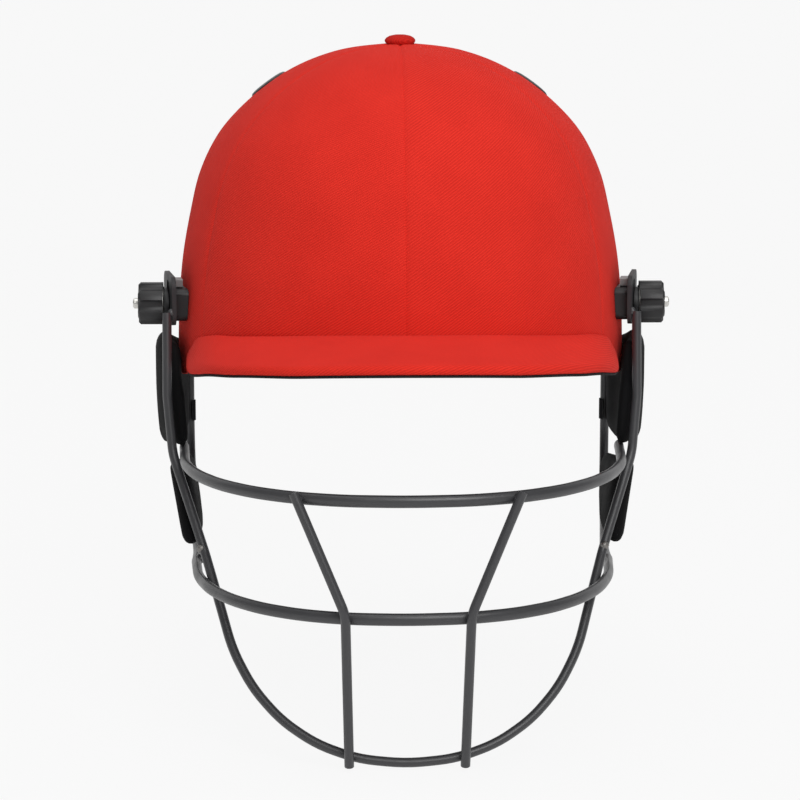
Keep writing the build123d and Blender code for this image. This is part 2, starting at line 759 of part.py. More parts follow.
# Chin bar, its ends welded under the ends of the side wires

knee_x = TOP_BAR_HALF + BAR_DEPTH / 2 + WIRE_D / 2 + WELD_GAP
chin_depth = CHIN_TOP_Z - CHIN_BOTTOM_Z
chin_lean = (CHIN_BOTTOM_Y - CHIN_TOP_Y) / chin_depth
chin_curve = superellipse(CHIN_HALF, chin_depth, CHIN_POWER, CHIN_COUNT)
chin_points = [(x, CHIN_TOP_Y + chin_lean * z, CHIN_TOP_Z - z) for x, z in chin_curve]
stay_end = Vector(STAY_END_X, STAY_END_Y, STAY_END_Z)
stay_dir = (stay_end - Vector(knee_x, BAR_BACK_Y - BAR_HEIGHT, TOP_BAR_Z)).normalized()
chin_ends = [stay_end + stay_dir * reach for reach in (WELD_GAP, WELD_GAP + CHIN_LEAD)]
left_ends = [(point.X, point.Y, point.Z) for point in chin_ends]
right_ends = [(-x, y, z) for x, y, z in reversed(left_ends)]
chin_points = left_ends + chin_points[1:-1] + right_ends
save(tube(chin_points, bend_radii(chin_points), WIRE_D), "chin_bar")

# Uprights, on the outside of the three bars


def bar_front_y(half, x):
    """Where the middle line of a front bar runs at a distance from the helmet's middle."""
    depth = BAR_BACK_Y - BAR_FRONT_Y
    return BAR_BACK_Y - depth * (1 - (x / half) ** BAR_POWER) ** (1 / BAR_POWER)


def chin_at(x):
    """Height and place along the helmet of the chin bar's middle line."""
    drop = chin_depth * (1 - (x / CHIN_HALF) ** CHIN_POWER) ** (1 / CHIN_POWER)
    return CHIN_TOP_Y + chin_lean * drop, CHIN_TOP_Z - drop


stand_off = BAR_DEPTH / 2 + WIRE_D / 2 + WELD_GAP
kink_off = stand_off + UPRIGHT_KINK_OUT
chin_y, chin_z = chin_at(UPRIGHT_FOOT_X)
upright_points = [
    (UPRIGHT_TOP_X, bar_front_y(TOP_BAR_HALF, UPRIGHT_TOP_X) - stand_off, TOP_BAR_Z + UPRIGHT_OVER),
    (UPRIGHT_KINK_X, bar_front_y(SECOND_BAR_HALF, UPRIGHT_KINK_X) - kink_off, SECOND_BAR_Z + UPRIGHT_OVER),
    (UPRIGHT_FOOT_X, chin_y - WIRE_D - WELD_GAP, chin_z - UPRIGHT_OVER),
]
save_pair(tube(upright_points, [UPRIGHT_KINK_R], WIRE_D), "upright")

# Side wires: from the plate down past the top bar and in to the chin bar

riser_x = PLATE_X + (RISER_TOP_Y - BOLT_Y) * math.tan(yaw) + (PLATE_T / 2 + WIRE_D / 2 + WELD_GAP) / math.cos(yaw)
side_points = [
    (riser_x, RISER_TOP_Y, RISER_TOP_Z),
    (riser_x, RISER_KNEE_Y, RISER_KNEE_Z),
    (knee_x, BAR_BACK_Y - BAR_HEIGHT, TOP_BAR_Z),
    (STAY_END_X, STAY_END_Y, STAY_END_Z),
]
save_pair(tube(side_points, [RISER_BEND_R, STAY_BEND_R], WIRE_D), "side_wire")

# Ear loops: from the plate's rear edge round the ear pad to the end of the second bar

loop_start = plate_centre + plate_along * (PLATE_LENGTH / 2 + LOOP_START_GAP) - Vector(0, 0, PLATE_RISE)
loop_bends = [(DOME_HALF_WIDTH * x, DOME_REAR * y, SECOND_BAR_Z * z) for x, y, z in LOOP_BEND_SHARES]
loop_foot = (SECOND_BAR_HALF, LOOP_FOOT_Y, SECOND_BAR_Z)
loop_end = (SECOND_BAR_HALF, BAR_BACK_Y + WELD_GAP, SECOND_BAR_Z)
loop_points = [(loop_start.X, loop_start.Y, loop_start.Z)] + loop_bends + [loop_foot, loop_end]
save_pair(tube(loop_points, bend_radii(loop_points), WIRE_D), "ear_loop")

# Ear and jaw pads


def oval_column(offset):
    """Upright column that follows the dome's plan at a distance outside it."""
    half = DOME_HALF_WIDTH + offset
    with BuildPart() as column:
        with BuildSketch(Plane.XY):
            with BuildLine():
                EllipticalCenterArc((0, 0), half, DOME_FRONT + offset, start_angle=180, arc_size=180)
                EllipticalCenterArc((0, 0), half, DOME_REAR + offset, start_angle=0, arc_size=180)
            make_face()
        extrude(amount=REACH, both=True)
    return column.part


def side_outline(points, corner_r):
    """Block across the helmet's left side with an outline seen from that side."""
    with BuildPart() as block:
        with BuildSketch(Plane.YZ):
            with BuildLine():
                FilletPolyline(*points, radius=corner_r, close=True)
            make_face()
        extrude(amount=REACH)
    return block.part


def behind(front, back, share):
    """A place between two others, given as a share of the way."""
    return front + (back - front) * share


wire_seat = WIRE_D / 2 + SEAT_GAP
pad_foot_z = TOP_BAR_Z + BAR_HEIGHT / 2 + SEAT_GAP
knee_run = (BAR_BACK_Y - BAR_HEIGHT - RISER_KNEE_Y) / (TOP_BAR_Z - RISER_KNEE_Z)
foot_front_y = RISER_KNEE_Y + knee_run * (pad_foot_z - RISER_KNEE_Z) + wire_seat
ear_pad_corners = [
    (behind(EAR_PAD_FRONT_Y, EAR_PAD_REAR_Y, along), behind(EAR_PAD_TOP_Z, pad_foot_z, down))
    for along, down in EAR_PAD_SHARES.values()
]
front_corners = [
    (foot_front_y, pad_foot_z),
    (RISER_KNEE_Y + wire_seat, RISER_KNEE_Z),
    (EAR_PAD_FRONT_Y, EAR_PAD_STEP_Z),
]
ear_pad_outline = [(EAR_PAD_FRONT_Y, EAR_PAD_TOP_Z)] + ear_pad_corners + front_corners
with BuildPart() as ear_pad:
    add(oval_column(PAD_OUT))
    add(oval_column(PAD_IN), mode=Mode.SUBTRACT)
    add(side_outline(ear_pad_outline, EAR_PAD_CORNER_R), mode=Mode.INTERSECT)
save_pair(ear_pad.part, "ear_pad")

lean = math.radians(JAW_PAD_LEAN)
jaw_out = Vector(math.cos(lean), 0, -math.sin(lean))
jaw_top_z = TOP_BAR_Z - BAR_HEIGHT / 2 - SEAT_GAP - JAW_PAD_BAR_SHARE * JAW_PAD_T * math.sin(lean)
stay_run = (STAY_END_Y - side_points[2][1]) / (STAY_END_Z - TOP_BAR_Z)
stay_seat = wire_seat * math.hypot(1, stay_run) + stay_run * JAW_PAD_T * math.sin(lean)
jaw_front_y = side_points[2][1] + stay_run * (jaw_top_z - TOP_BAR_Z) + stay_seat
jaw_sole_y = jaw_front_y - stay_run * JAW_PAD_HEIGHT * math.cos(lean)
jaw_corners = [
    (jaw_front_y + JAW_PAD_LENGTH * along, -JAW_PAD_HEIGHT * down) for along, down in JAW_PAD_SHARES.values()
]
jaw_pad_outline = [(jaw_front_y, 0)] + jaw_corners + [(jaw_sole_y, -JAW_PAD_HEIGHT)]
with BuildPart() as jaw_pad:
    jaw_plane = Plane(origin=(JAW_PAD_TOP_X, 0, jaw_top_z), x_dir=(0, 1, 0), z_dir=jaw_out)
    with BuildSketch(jaw_plane):
        with BuildLine():
            FilletPolyline(*jaw_pad_outline, radius=JAW_PAD_CORNER_R, close=True)
        make_face()
    extrude(amount=-JAW_PAD_T)
save_pair(jaw_pad.part, "jaw_pad")

# Strap: a band round the rear wire, its two ends sewn together against the ear pad

rear_wire_x, rear_wire_y = loop_bends[-3][0], loop_bends[-3][1]
strap_in_r = WIRE_D / 2 + RUNNING_GAP
tail_length = rear_wire_y - EAR_PAD_REAR_Y - SEAT_GAP
with BuildPart() as strap:
    with BuildSketch(Plane.XY.offset(STRAP_Z - STRAP_W / 2)):
        with Locations((rear_wire_x, rear_wire_y)):
            Circle(strap_in_r + STRAP_T)
            Rectangle(2 * STRAP_T, tail_length, align=(Align.CENTER, Align.MAX))
            Circle(strap_in_r, mode=Mode.SUBTRACT)
    extrude(amount=STRAP_W)
save_pair(strap.part, "pad_strap")
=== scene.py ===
# %% [markdown]
# # A cricket helmet with a wire face guard
# The real helmet is a hard shell covered in red twill, with a padded peak, foam inside, and a guard of coated
# steel wire that hangs on two side bolts. The solid model already has every piece at its true size. Here the
# hard pieces keep their solids and get better finishes, and the soft ones are made again with rounded edges,
# seams and weave. All lengths are in metres, and the front of the helmet looks along -Y.

import math

import bmesh
import bpy
from mathutils import Matrix, Vector, noise
from mathutils.bvhtree import BVHTree


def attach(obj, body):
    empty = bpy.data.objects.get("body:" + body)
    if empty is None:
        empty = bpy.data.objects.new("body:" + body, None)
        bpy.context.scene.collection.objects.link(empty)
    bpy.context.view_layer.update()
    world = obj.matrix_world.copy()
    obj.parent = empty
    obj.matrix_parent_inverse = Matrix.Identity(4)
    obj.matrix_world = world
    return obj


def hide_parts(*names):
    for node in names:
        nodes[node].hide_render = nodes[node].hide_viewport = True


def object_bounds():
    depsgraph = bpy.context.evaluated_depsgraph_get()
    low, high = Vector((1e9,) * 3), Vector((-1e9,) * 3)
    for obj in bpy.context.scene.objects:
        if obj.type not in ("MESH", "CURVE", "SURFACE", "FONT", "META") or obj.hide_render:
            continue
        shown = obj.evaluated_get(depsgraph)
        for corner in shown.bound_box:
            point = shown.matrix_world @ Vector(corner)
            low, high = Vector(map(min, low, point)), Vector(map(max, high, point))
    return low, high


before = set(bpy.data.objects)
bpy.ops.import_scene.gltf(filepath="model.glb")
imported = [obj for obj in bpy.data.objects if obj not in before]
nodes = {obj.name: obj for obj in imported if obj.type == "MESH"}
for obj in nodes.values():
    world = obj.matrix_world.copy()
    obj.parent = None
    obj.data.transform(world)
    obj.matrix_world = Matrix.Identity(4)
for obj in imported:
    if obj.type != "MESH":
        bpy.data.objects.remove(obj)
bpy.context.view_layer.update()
MM = 0.001

# %% [markdown]
# ## Finishes
# Each finish is a Principled shader with a few procedural nodes in front of it. A small helper makes the
# shader and another adds a node and wires it up, so that each recipe below reads as a short list.


# %% Two helpers for materials
def finish_named(name, colour, roughness, metallic=0.0):
    """A new material and its shader, with the plain values set on the shader's own sockets."""
    material = bpy.data.materials.new(name)
    material.use_nodes = True
    shader = material.node_tree.nodes["Principled BSDF"]
    shader.inputs["Base Color"].default_value = (*colour, 1.0)
    shader.inputs["Roughness"].default_value = roughness
    shader.inputs["Metallic"].default_value = metallic
    return material, shader


def add_node(material, kind, values=(), links=()):
    """Adds a node, sets inputs by number or name and other values by name, and links its inputs."""
    node = material.node_tree.nodes.new(kind)
    for name, value in dict(values).items():
        if isinstance(name, int) or name in node.inputs:
            node.inputs[name].default_value = value
        else:
            setattr(node, name, value)
    for name, output in dict(links).items():
        material.node_tree.links.new(output, node.inputs[name])
    return node


print("helpers ready")

# %% [markdown]
# ## Twill cloth
# Twill shows fine slanted ribs about a millimetre apart. Every cloth mesh below carries a UV map in metres, so
# one wave pattern turned by about sixty degrees draws ribs of the right size anywhere, and a second, finer wave
# across them breaks each rib into threads. Noise adds the slight change of shade that dyed cotton has. The ribs
# go into the bump and, faintly, into the colour.


# %% The cloth recipe
def twill(name, light, dark, rib=0.0011, slant=58.0, height=0.00014, rough=0.88, sheen=0.02):
    """Twill in two near shades of one colour."""
    material, shader = finish_named(name, light, rough)
    uv = add_node(material, "ShaderNodeTexCoord").outputs["UV"]
    slanted = add_node(material, "ShaderNodeMapping", {"Rotation": (0, 0, math.radians(slant))}, {"Vector": uv})
    on_slant = {"Vector": slanted.outputs["Vector"]}
    rib_wave = {"Scale": math.pi / (10 * rib), "Distortion": 0.6, "Detail": 1.0, "Detail Scale": 2.0}
    thread_wave = {"bands_direction": "Y", "Scale": math.pi / (5.5 * rib), "Distortion": 1.0, "Detail": 1.0}
    ribs = add_node(material, "ShaderNodeTexWave", rib_wave, on_slant).outputs["Fac"]
    threads = add_node(material, "ShaderNodeTexWave", thread_wave, on_slant).outputs["Fac"]
    patches = add_node(material, "ShaderNodeTexNoise", {"Scale": 38.0, "Detail": 4.0}, {"Vector": uv}).outputs["Fac"]
    times_and_add = {"operation": "MULTIPLY_ADD", 1: 0.35}
    weave = add_node(material, "ShaderNodeMath", times_and_add, {0: threads, 2: ribs}).outputs["Value"]
    spread = {"From Min": 0.0, "From Max": 1.35, "To Min": 0.0, "To Max": 0.75}
    shade = add_node(material, "ShaderNodeMapRange", spread, {"Value": weave}).outputs["Result"]
    times_and_add[1] = 0.5
    mottled = add_node(material, "ShaderNodeMath", times_and_add, {0: patches, 2: shade}).outputs["Value"]
    shades = {"data_type": "RGBA", 6: (*dark, 1.0), 7: (*light, 1.0)}
    dyed = add_node(material, "ShaderNodeMix", shades, {0: mottled}).outputs[2]
    bump = add_node(material, "ShaderNodeBump", {"Strength": 0.8, "Distance": height}, {"Height": weave})
    material.node_tree.links.new(dyed, shader.inputs["Base Color"])
    material.node_tree.links.new(bump.outputs["Normal"], shader.inputs["Normal"])
    shader.inputs["Sheen Weight"].default_value = sheen
    shader.inputs["Sheen Roughness"].default_value = 0.5
    shader.inputs["Specular IOR Level"].default_value = 0.1
    return material


red_twill = twill("red_twill", (0.80, 0.034, 0.021), (0.54, 0.016, 0.010))
# The button's twill is a darker copy of the red twill: painted shade on the whole button.
shaded_button_twill = twill("shaded_button_twill", (0.62, 0.022, 0.014), (0.36, 0.010, 0.007), rib=0.0009)
lining_cloth = twill("lining_cloth", (0.022, 0.022, 0.024), (0.012, 0.012, 0.013), rib=0.0014, slant=8.0)
towel_cloth = twill("towel_cloth", (0.045, 0.045, 0.048), (0.02, 0.02, 0.022), rib=0.002, slant=3.0, height=0.0003)
print("cloths:", red_twill.name, shaded_button_twill.name, lining_cloth.name, towel_cloth.name)

# %% [markdown]
# ## Coated wire, moulded plastic, foam and bare metal
# The guard is powder coated: nearly black, satin, with a very fine orange-peel surface. The knobs and spacers
# are moulded in a slightly rougher black. The guard's pads are closed-cell foam with a smooth skin, so their
# surface is dull with small pits. The bolts and washers are plated steel and the nuts are brass. Each recipe is
# noise of the right grain into the bump, and a little into the roughness.


# %% Recipes for the other finishes
def speckled(name, colour, roughness, grain, height, metallic=0.0, coat=0.0, shine=0.5):
    """A finish with a fine random surface: grain is its size in metres."""
    material, shader = finish_named(name, colour, roughness, metallic)
    place = {"Vector": add_node(material, "ShaderNodeTexCoord").outputs["Object"]}
    fine = add_node(material, "ShaderNodeTexNoise", {"Scale": 1 / grain, "Detail": 3.0}, place).outputs["Fac"]
    broad = add_node(material, "ShaderNodeTexNoise", {"Scale": 60.0, "Detail": 5.0}, place).outputs["Fac"]
    spread = {"From Min": 0.3, "From Max": 0.7, "To Min": roughness - 0.08, "To Max": roughness + 0.08}
    rough = add_node(material, "ShaderNodeMapRange", spread, {"Value": broad}).outputs["Result"]
    bump = add_node(material, "ShaderNodeBump", {"Strength": 0.6, "Distance": height}, {"Height": fine})
    material.node_tree.links.new(rough, shader.inputs["Roughness"])
    material.node_tree.links.new(bump.outputs["Normal"], shader.inputs["Normal"])
    shader.inputs["Specular IOR Level"].default_value = shine
    shader.inputs["Coat Weight"].default_value = coat
    shader.inputs["Coat Roughness"].default_value = 0.35
    return material


coated_plate = speckled("coated_plate", (0.024, 0.024, 0.026), 0.55, 0.0009, 0.00005, shine=0.35)
coated_steel = speckled("coated_steel", (0.036, 0.036, 0.039), 0.42, 0.0009, 0.00004, coat=0.25)
moulded_black = speckled("moulded_black", (0.009, 0.009, 0.010), 0.46, 0.0005, 0.00003, shine=0.45)
pad_foam = speckled("pad_foam", (0.005, 0.005, 0.0055), 0.85, 0.0007, 0.00008, shine=0.1)
liner_foam = speckled("liner_foam", (0.035, 0.035, 0.038), 0.85, 0.0012, 0.0002)
binding_rubber = speckled("binding_rubber", (0.014, 0.014, 0.015), 0.6, 0.0008, 0.00005)
shell_plastic = speckled("shell_plastic", (0.04, 0.04, 0.044), 0.5, 0.0015, 0.00005)
plated_steel = speckled("plated_steel", (0.62, 0.61, 0.58), 0.34, 0.0006, 0.00003, metallic=1.0)
dull_zinc = speckled("dull_zinc", (0.26, 0.26, 0.26), 0.55, 0.0006, 0.00003, metallic=0.7)
turned_brass = speckled("turned_brass", (0.70, 0.52, 0.24), 0.3, 0.0006, 0.00003, metallic=1.0)
print("finishes:", len(bpy.data.materials))

# %% [markdown]
# ## Finishes for the solids that stay
# Wires, plates, knobs, bolts, vents and washers already have the right shape, so their solids stay and only
# their material slots change. Moulded and pressed pieces have no razor edges, so a Weld and a Bevel modifier
# round theirs by a few tenths of a millimetre without touching the mesh itself.


# %% Paint and soften the hard pieces
def paint(prefixes, material, round_by=0.0):
    """Gives a finish to each solid whose name starts with one of the prefixes."""
    painted = [piece for name, piece in nodes.items() if name.startswith(prefixes)]
    for piece in painted:
        piece.data.materials.clear()
        piece.data.materials.append(material)
        if round_by:
            piece.modifiers.new("weld", "WELD").merge_threshold = 0.00001
            bevel = piece.modifiers.new("round", "BEVEL")
            bevel.width = round_by
            bevel.segments = 3
            bevel.limit_method = "ANGLE"
            bevel.angle_limit = math.radians(38)
            bevel.harden_normals = True
    return len(painted)


count = paint(("top_bar", "second_bar", "chin_bar", "upright", "side_wire", "ear_loop"), coated_steel)
count += paint(("side_plate",), coated_plate, 0.0004)
count += paint(("knob_left", "knob_right"), moulded_black, 0.0005)
count += paint(("spacer_left", "spacer_right", "slot_guide", "vent"), moulded_black, 0.0004)
count += paint(("bolt", "backing_washer", "knob_washer", "button_washer"), plated_steel)
count += paint(("spacer_clip",), dull_zinc, 0.0002)
count += paint(("knob_nut",), turned_brass)
count += paint(("shell", "peak_board"), shell_plastic)
print("painted solids:", count)

# %% [markdown]
# ## The dome's surface
# Cloth, binding and foam all follow one dome. Its profile is a smooth line through a few shares of the crown's
# height and half width, and each half is stretched to its own length, front and rear. The function below gives
# a point from a direction in plan and a distance along the profile, and everything soft is laid out on it.

# %% Profile and place on the dome
HALF_WIDTH, FRONT, REAR, CROWN = 0.105, 0.118, 0.128, 0.1196
PROFILE = [
    (0.0, 1.0),
    (0.286, 0.976),
    (0.505, 0.898),
    (0.676, 0.789),
    (0.806, 0.664),
    (0.895, 0.507),
    (0.941, 0.351),
    (0.975, 0.195),
    (0.992, 0.050),
    (1.0, -0.120),
    (1.0, -0.5184),
]


def smooth_through(points, first, last, steps=24):
    """Dense points on a smooth line through the given ones, with its end directions given."""
    points = [Vector(p) for p in points]
    spans = [(b - a).length for a, b in zip(points, points[1:])]
    slopes = [Vector(first)]
    for a, b, c, before, after in zip(points, points[1:], points[2:], spans, spans[1:]):
        slopes.append(((b - a) / before * after + (c - b) / after * before) / (before + after))
    slopes.append(Vector(last))
    dense = []
    for i, span in enumerate(spans):
        for k in range(steps):
            t = k / steps
            dense.append(
                points[i] * (2 * t**3 - 3 * t**2 + 1)
                + slopes[i] * span * (t**3 - 2 * t**2 + t)
                + points[i + 1] * (3 * t**2 - 2 * t**3)
                + slopes[i + 1] * span * (t**3 - t**2)
            )
    return dense + [points[-1]]


profile = smooth_through([(r * HALF_WIDTH, z * CROWN) for r, z in PROFILE], (1, 0), (0, -1))
along = [0.0]
for a, b in zip(profile, profile[1:]):
    along.append(along[-1] + (b - a).length)
print(f"profile length {along[-1] / MM:.0f} mm in {len(profile)} points")


# %% A point from its direction and its distance down the profile
def profile_at(distance):
    """Radius and height on the profile at a distance from the crown."""
    distance = min(max(distance, 0.0), along[-1])
    low, high = 0, len(along) - 1
    while high - low > 1:
        middle = (low + high) // 2
        low, high = (middle, high) if along[middle] <= distance else (low, middle)
    t = (distance - along[low]) / (along[high] - along[low])
    return profile[low].lerp(profile[high], t)


def on_dome(direction, distance, lift=0.0):
    """A point on the dome, lifted off it along its normal. Direction is the angle in plan from +X."""
    c, s = math.cos(direction), math.sin(direction)
    length = FRONT if s < 0 else REAR
    reach = 1 / math.sqrt((c / HALF_WIDTH) ** 2 + (s / length) ** 2) / HALF_WIDTH
    here = profile_at(distance)
    if not lift:
        return Vector((here.x * reach * c, here.x * reach * s, here.y))
    ahead, behind = profile_at(distance + 0.002), profile_at(distance - 0.002)
    fall = (ahead - behind).normalized()
    flat = Vector((c / HALF_WIDTH**2, s / length**2, 0)).normalized()
    normal = (flat * -fall.y + Vector((0, 0, 1)) * fall.x / max(reach, 1.0)).normalized()
    return Vector((here.x * reach * c, here.x * reach * s, here.y)) + normal * lift


RIM = [(-0.122, -0.0025), (-0.0944, -0.0036), (-0.059, -0.01372), (-0.0354, -0.028), (0.0064, -0.0315)]
RIM += [(0.0794, -0.03775), (0.132, -0.044)]
rim_line = smooth_through(RIM, (0.99, 0.02), (0.99, -0.12))


def rim_height(y):
    """Height of the shell's lower edge at a place along the helmet."""
    for a, b in zip(rim_line, rim_line[1:]):
        if a.x <= y <= b.x:
            return a.y + (b.y - a.y) * (y - a.x) / (b.x - a.x)
    return rim_line[0].y if y < rim_line[0].x else rim_line[-1].y


def distance_at_rim(direction, rise=0.0):
    """How far down the profile the lower edge lies in a direction."""
    low, high = 0.0, along[-1]
    for _ in range(30):
        middle = (low + high) / 2
        point = on_dome(direction, middle)
        low, high = (middle, high) if point.z > rim_height(point.y) + rise else (low, middle)
    return low


front_rim = distance_at_rim(-math.pi / 2)
print(f"crown to brow {front_rim / MM:.0f} mm, crown to nape {distance_at_rim(math.pi / 2) / MM:.0f} mm")

# %% [markdown]
# ## A helper that makes a mesh from rows of points
# Nearly every soft piece is a grid: rows of points that are joined to quads, and a UV map that says where each
# point lies on the flat cloth. The helper takes both, closes the grid across or along if asked, and smooths it.


# %% Grid to object
def grid_piece(name, rows, uvs, material, close_rows=False, close_columns=False, caps=False):
    """An object from rows of points with UVs in metres."""
    mesh = bpy.data.meshes.new(name)
    shape = bmesh.new()
    layer = shape.loops.layers.uv.new("cloth")
    verts = [[shape.verts.new(p) for p in row] for row in rows]
    row_count, column_count = len(rows), len(rows[0])
    for i in range(row_count if close_rows else row_count - 1):
        for j in range(column_count if close_columns else column_count - 1):
            corners = [(i, j), (i, j + 1), (i + 1, j + 1), (i + 1, j)]
            face = shape.faces.new([verts[a % row_count][b % column_count] for a, b in corners])
            for loop, (a, b) in zip(face.loops, corners):
                u, v = uvs(a, b)
                loop[layer].uv = (u, v)
    if caps:
        for row, at in ((verts[0], 0), (verts[-1], row_count - 1)):
            face = shape.faces.new(row)
            for loop, b in zip(face.loops, range(column_count)):
                loop[layer].uv = uvs(at, b)
    bmesh.ops.recalc_face_normals(shape, faces=shape.faces)
    for face in shape.faces:
        face.smooth = True
    shape.to_mesh(mesh)
    shape.free()
    piece = bpy.data.objects.new(name, mesh)
    bpy.context.scene.collection.objects.link(piece)
    mesh.materials.append(material)
    return piece


def turn_out(piece, centre):
    """Turns an open sheet's faces so that they look away from a point."""
    mesh = piece.data
    votes = sum(f.normal.dot(f.center - Vector(centre)) * f.area for f in mesh.polygons)
    if votes < 0:
        mesh.flip_normals()
    return piece


print("grid helper ready")

# %% [markdown]
# ## Where the vents lie
# A long oval vent sits in the dome at each side of the crown. Its outline is drawn on a leaning plane, and each
# point of it goes straight in from that plane to the dome. The cloth needs the same outline, a little smaller,
# because it is cut open under the vent.

# %% From the vent's plane to the dome
VENT_MIDDLE, VENT_LEAN = Vector((0.060, 0.036, 0.0981)), math.radians(38)
VENT_LONG, VENT_WIDE = 0.033, 0.0095
vent_up = Vector((math.sin(VENT_LEAN), 0, math.cos(VENT_LEAN)))
vent_across = Vector((math.cos(VENT_LEAN), 0, -math.sin(VENT_LEAN)))


def on_dome_below(spot, lift):
    """The dome's point straight in from a place on the vent's plane, lifted off it."""
    point = VENT_MIDDLE + Vector((0, spot.x, 0)) + vent_across * spot.y
    for _ in range(5):
        direction = math.atan2(point.y, point.x)
        c, s = math.cos(direction), math.sin(direction)
        reach = 1 / math.sqrt((c / HALF_WIDTH) ** 2 + (s / (FRONT if s < 0 else REAR)) ** 2) / HALF_WIDTH
        low, high = 0.0, along[-1]
        for _ in range(22):
            middle = (low + high) / 2
            low, high = (middle, high) if profile_at(middle).x * reach < point.to_2d().length else (low, middle)
        point = point + vent_up * (profile_at(low).y - point.z) * vent_up.z
    return on_dome(direction, low, lift)


def under_vent(point, margin):
    """Whether a point lies within a vent's outline, drawn in by a margin."""
    away = Vector((abs(point.x), point.y, point.z)) - VENT_MIDDLE
    past_end = max(0.0, abs(away.y) - (VENT_LONG - VENT_WIDE))
    return math.hypot(past_end, away.dot(vent_across)) < VENT_WIDE - margin and abs(away.dot(vent_up)) < 0.015


print("vent across", 2 * VENT_WIDE / MM, "mm")

# %% [markdown]
# ## Six cloth panels
# The cover is six gores that meet under the button: two in front, one at each side and two behind. Where two
# gores are sewn together the cloth dips into a narrow groove and swells a little beside it, and the lower edge
# is turned under the shell. Each gore is a grid whose columns crowd together at its seams, where the shape
# changes fastest. A few low waves stop the cloth from looking like paint.

# %% Seams and the shape of the cloth
SEAM_DEPTHS = {-90.0: 0.0006, -32.0: 0.0003, 32.0: 0.0003, 90.0: 0.0006}
SEAM_DEPTHS.update({148.0: 0.0003, 212.0: 0.0003, 270.0: 0.0006})
CROWN_HOLE = 0.0036


def seam_offset(gap, depth):
    """How far the cloth stands off the dome at a distance from its seam."""
    groove = -depth * math.exp(-((gap / 0.0009) ** 2))
    swell = 0.22 * depth * math.exp(-(((gap - 0.0045) / 0.0028) ** 2))
    return groove + swell


def slack(point):
    """Very low waves of cloth that isn't glued down everywhere."""
    return 0.00012 * (math.sin(point.x * 71 + point.z * 43) + math.sin(point.y * 57 - point.z * 88 + 1.3))


def cloth_columns(low, high, count=26, crowd=1.55):
    """Directions from one seam to the next, closer together near both."""
    places = []
    for k in range(count + 1):
        t = 2 * k / count - 1
        places.append(low + (high - low) * (0.5 + 0.5 * math.copysign(1 - (1 - abs(t)) ** crowd, t)))
    return places


print("seams at", list(SEAM_DEPTHS))


# %% Sew the gores
def gore(name, low, high):
    """One cloth panel between two seam directions, given in degrees."""
    columns = [math.radians(a) for a in cloth_columns(low, high)]
    row_count = 64
    ends = [distance_at_rim(a) for a in columns]
    rows, flat = [], []
    for i in range(row_count + 1):
        share = i / row_count
        row, spots = [], []
        for a, end in zip(columns, ends):
            down = CROWN_HOLE + (end - CROWN_HOLE) * share
            base = on_dome(a, down)
            width = math.hypot(base.x, base.y)
            gap, seam = min((width * (a - columns[0]), low), (width * (columns[-1] - a), high))
            lift = seam_offset(gap, SEAM_DEPTHS[seam]) + slack(base) * min(1.0, gap / 0.006)
            lift += 0.0011 * math.exp(-((width / 0.012) ** 2))
            row.append(on_dome(a, down, lift))
            middle = (columns[0] + columns[-1]) / 2
            spots.append(((a - middle) * width, -down))
        rows.append(row)
        flat.append(spots)
    for lift, drop in ((-0.0002, 0.0008), (-0.0009, 0.0013), (-0.0017, 0.0013), (-0.0022, 0.0007)):
        rows.append([on_dome(a, end, lift) - Vector((0, 0, drop)) for a, end in zip(columns, ends)])
        flat.append([(u, v - 0.001) for u, v in flat[-1]])
    piece = grid_piece(name, rows, lambda i, j: flat[i][j], red_twill)
    sheet = bmesh.new()
    sheet.from_mesh(piece.data)
    opened = [face for face in sheet.faces if under_vent(face.calc_center_median(), 0.002)]
    bmesh.ops.delete(sheet, geom=opened, context="FACES")
    sheet.to_mesh(piece.data)
    sheet.free()
    return turn_out(piece, (0, 0, 0.03))


gores = [
    ("front_panel_left", -90.0, -32.0),
    ("side_panel_left", -32.0, 32.0),
    ("rear_panel_left", 32.0, 90.0),
    ("rear_panel_right", 90.0, 148.0),
    ("side_panel_right", 148.0, 212.0),
    ("front_panel_right", 212.0, 270.0),
]
for name, low, high in gores:
    piece = gore("cloth_" + name, low, high)
    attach(piece, "shell")
    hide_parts(name)
print("gores:", len(gores))

# %% [markdown]
# ## Binding along the shell's lower edge
# The edge of a hard shell is closed by a soft black binding, a rounded strip that follows the rim all the way
# round. It is a tube of one D-shaped section, placed at each direction on the dome.

# %% Run the binding round the rim
binding_rows, binding_flat = [], []
ROUND = 180
for k in range(ROUND):
    a = 2 * math.pi * k / ROUND
    end = distance_at_rim(a)
    section = [(-0.0016, 0.0022), (-0.0016, 0.0004), (-0.0023, -0.0006), (-0.0032, -0.0008)]
    section += [(-0.0040, -0.0004), (-0.0044, 0.0006), (-0.0044, 0.0022)]
    binding_rows.append([on_dome(a, end, lift) + Vector((0, 0, up)) for lift, up in section])
    binding_flat.append(a * 0.11)
binding = grid_piece(
    "rim_binding",
    binding_rows,
    lambda i, j: (i * 0.0038, j * 0.001),
    binding_rubber,
    close_rows=True,
    close_columns=True,
)
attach(binding, "shell")
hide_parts("rim_trim")
print("binding points:", len(binding_rows) * len(binding_rows[0]))
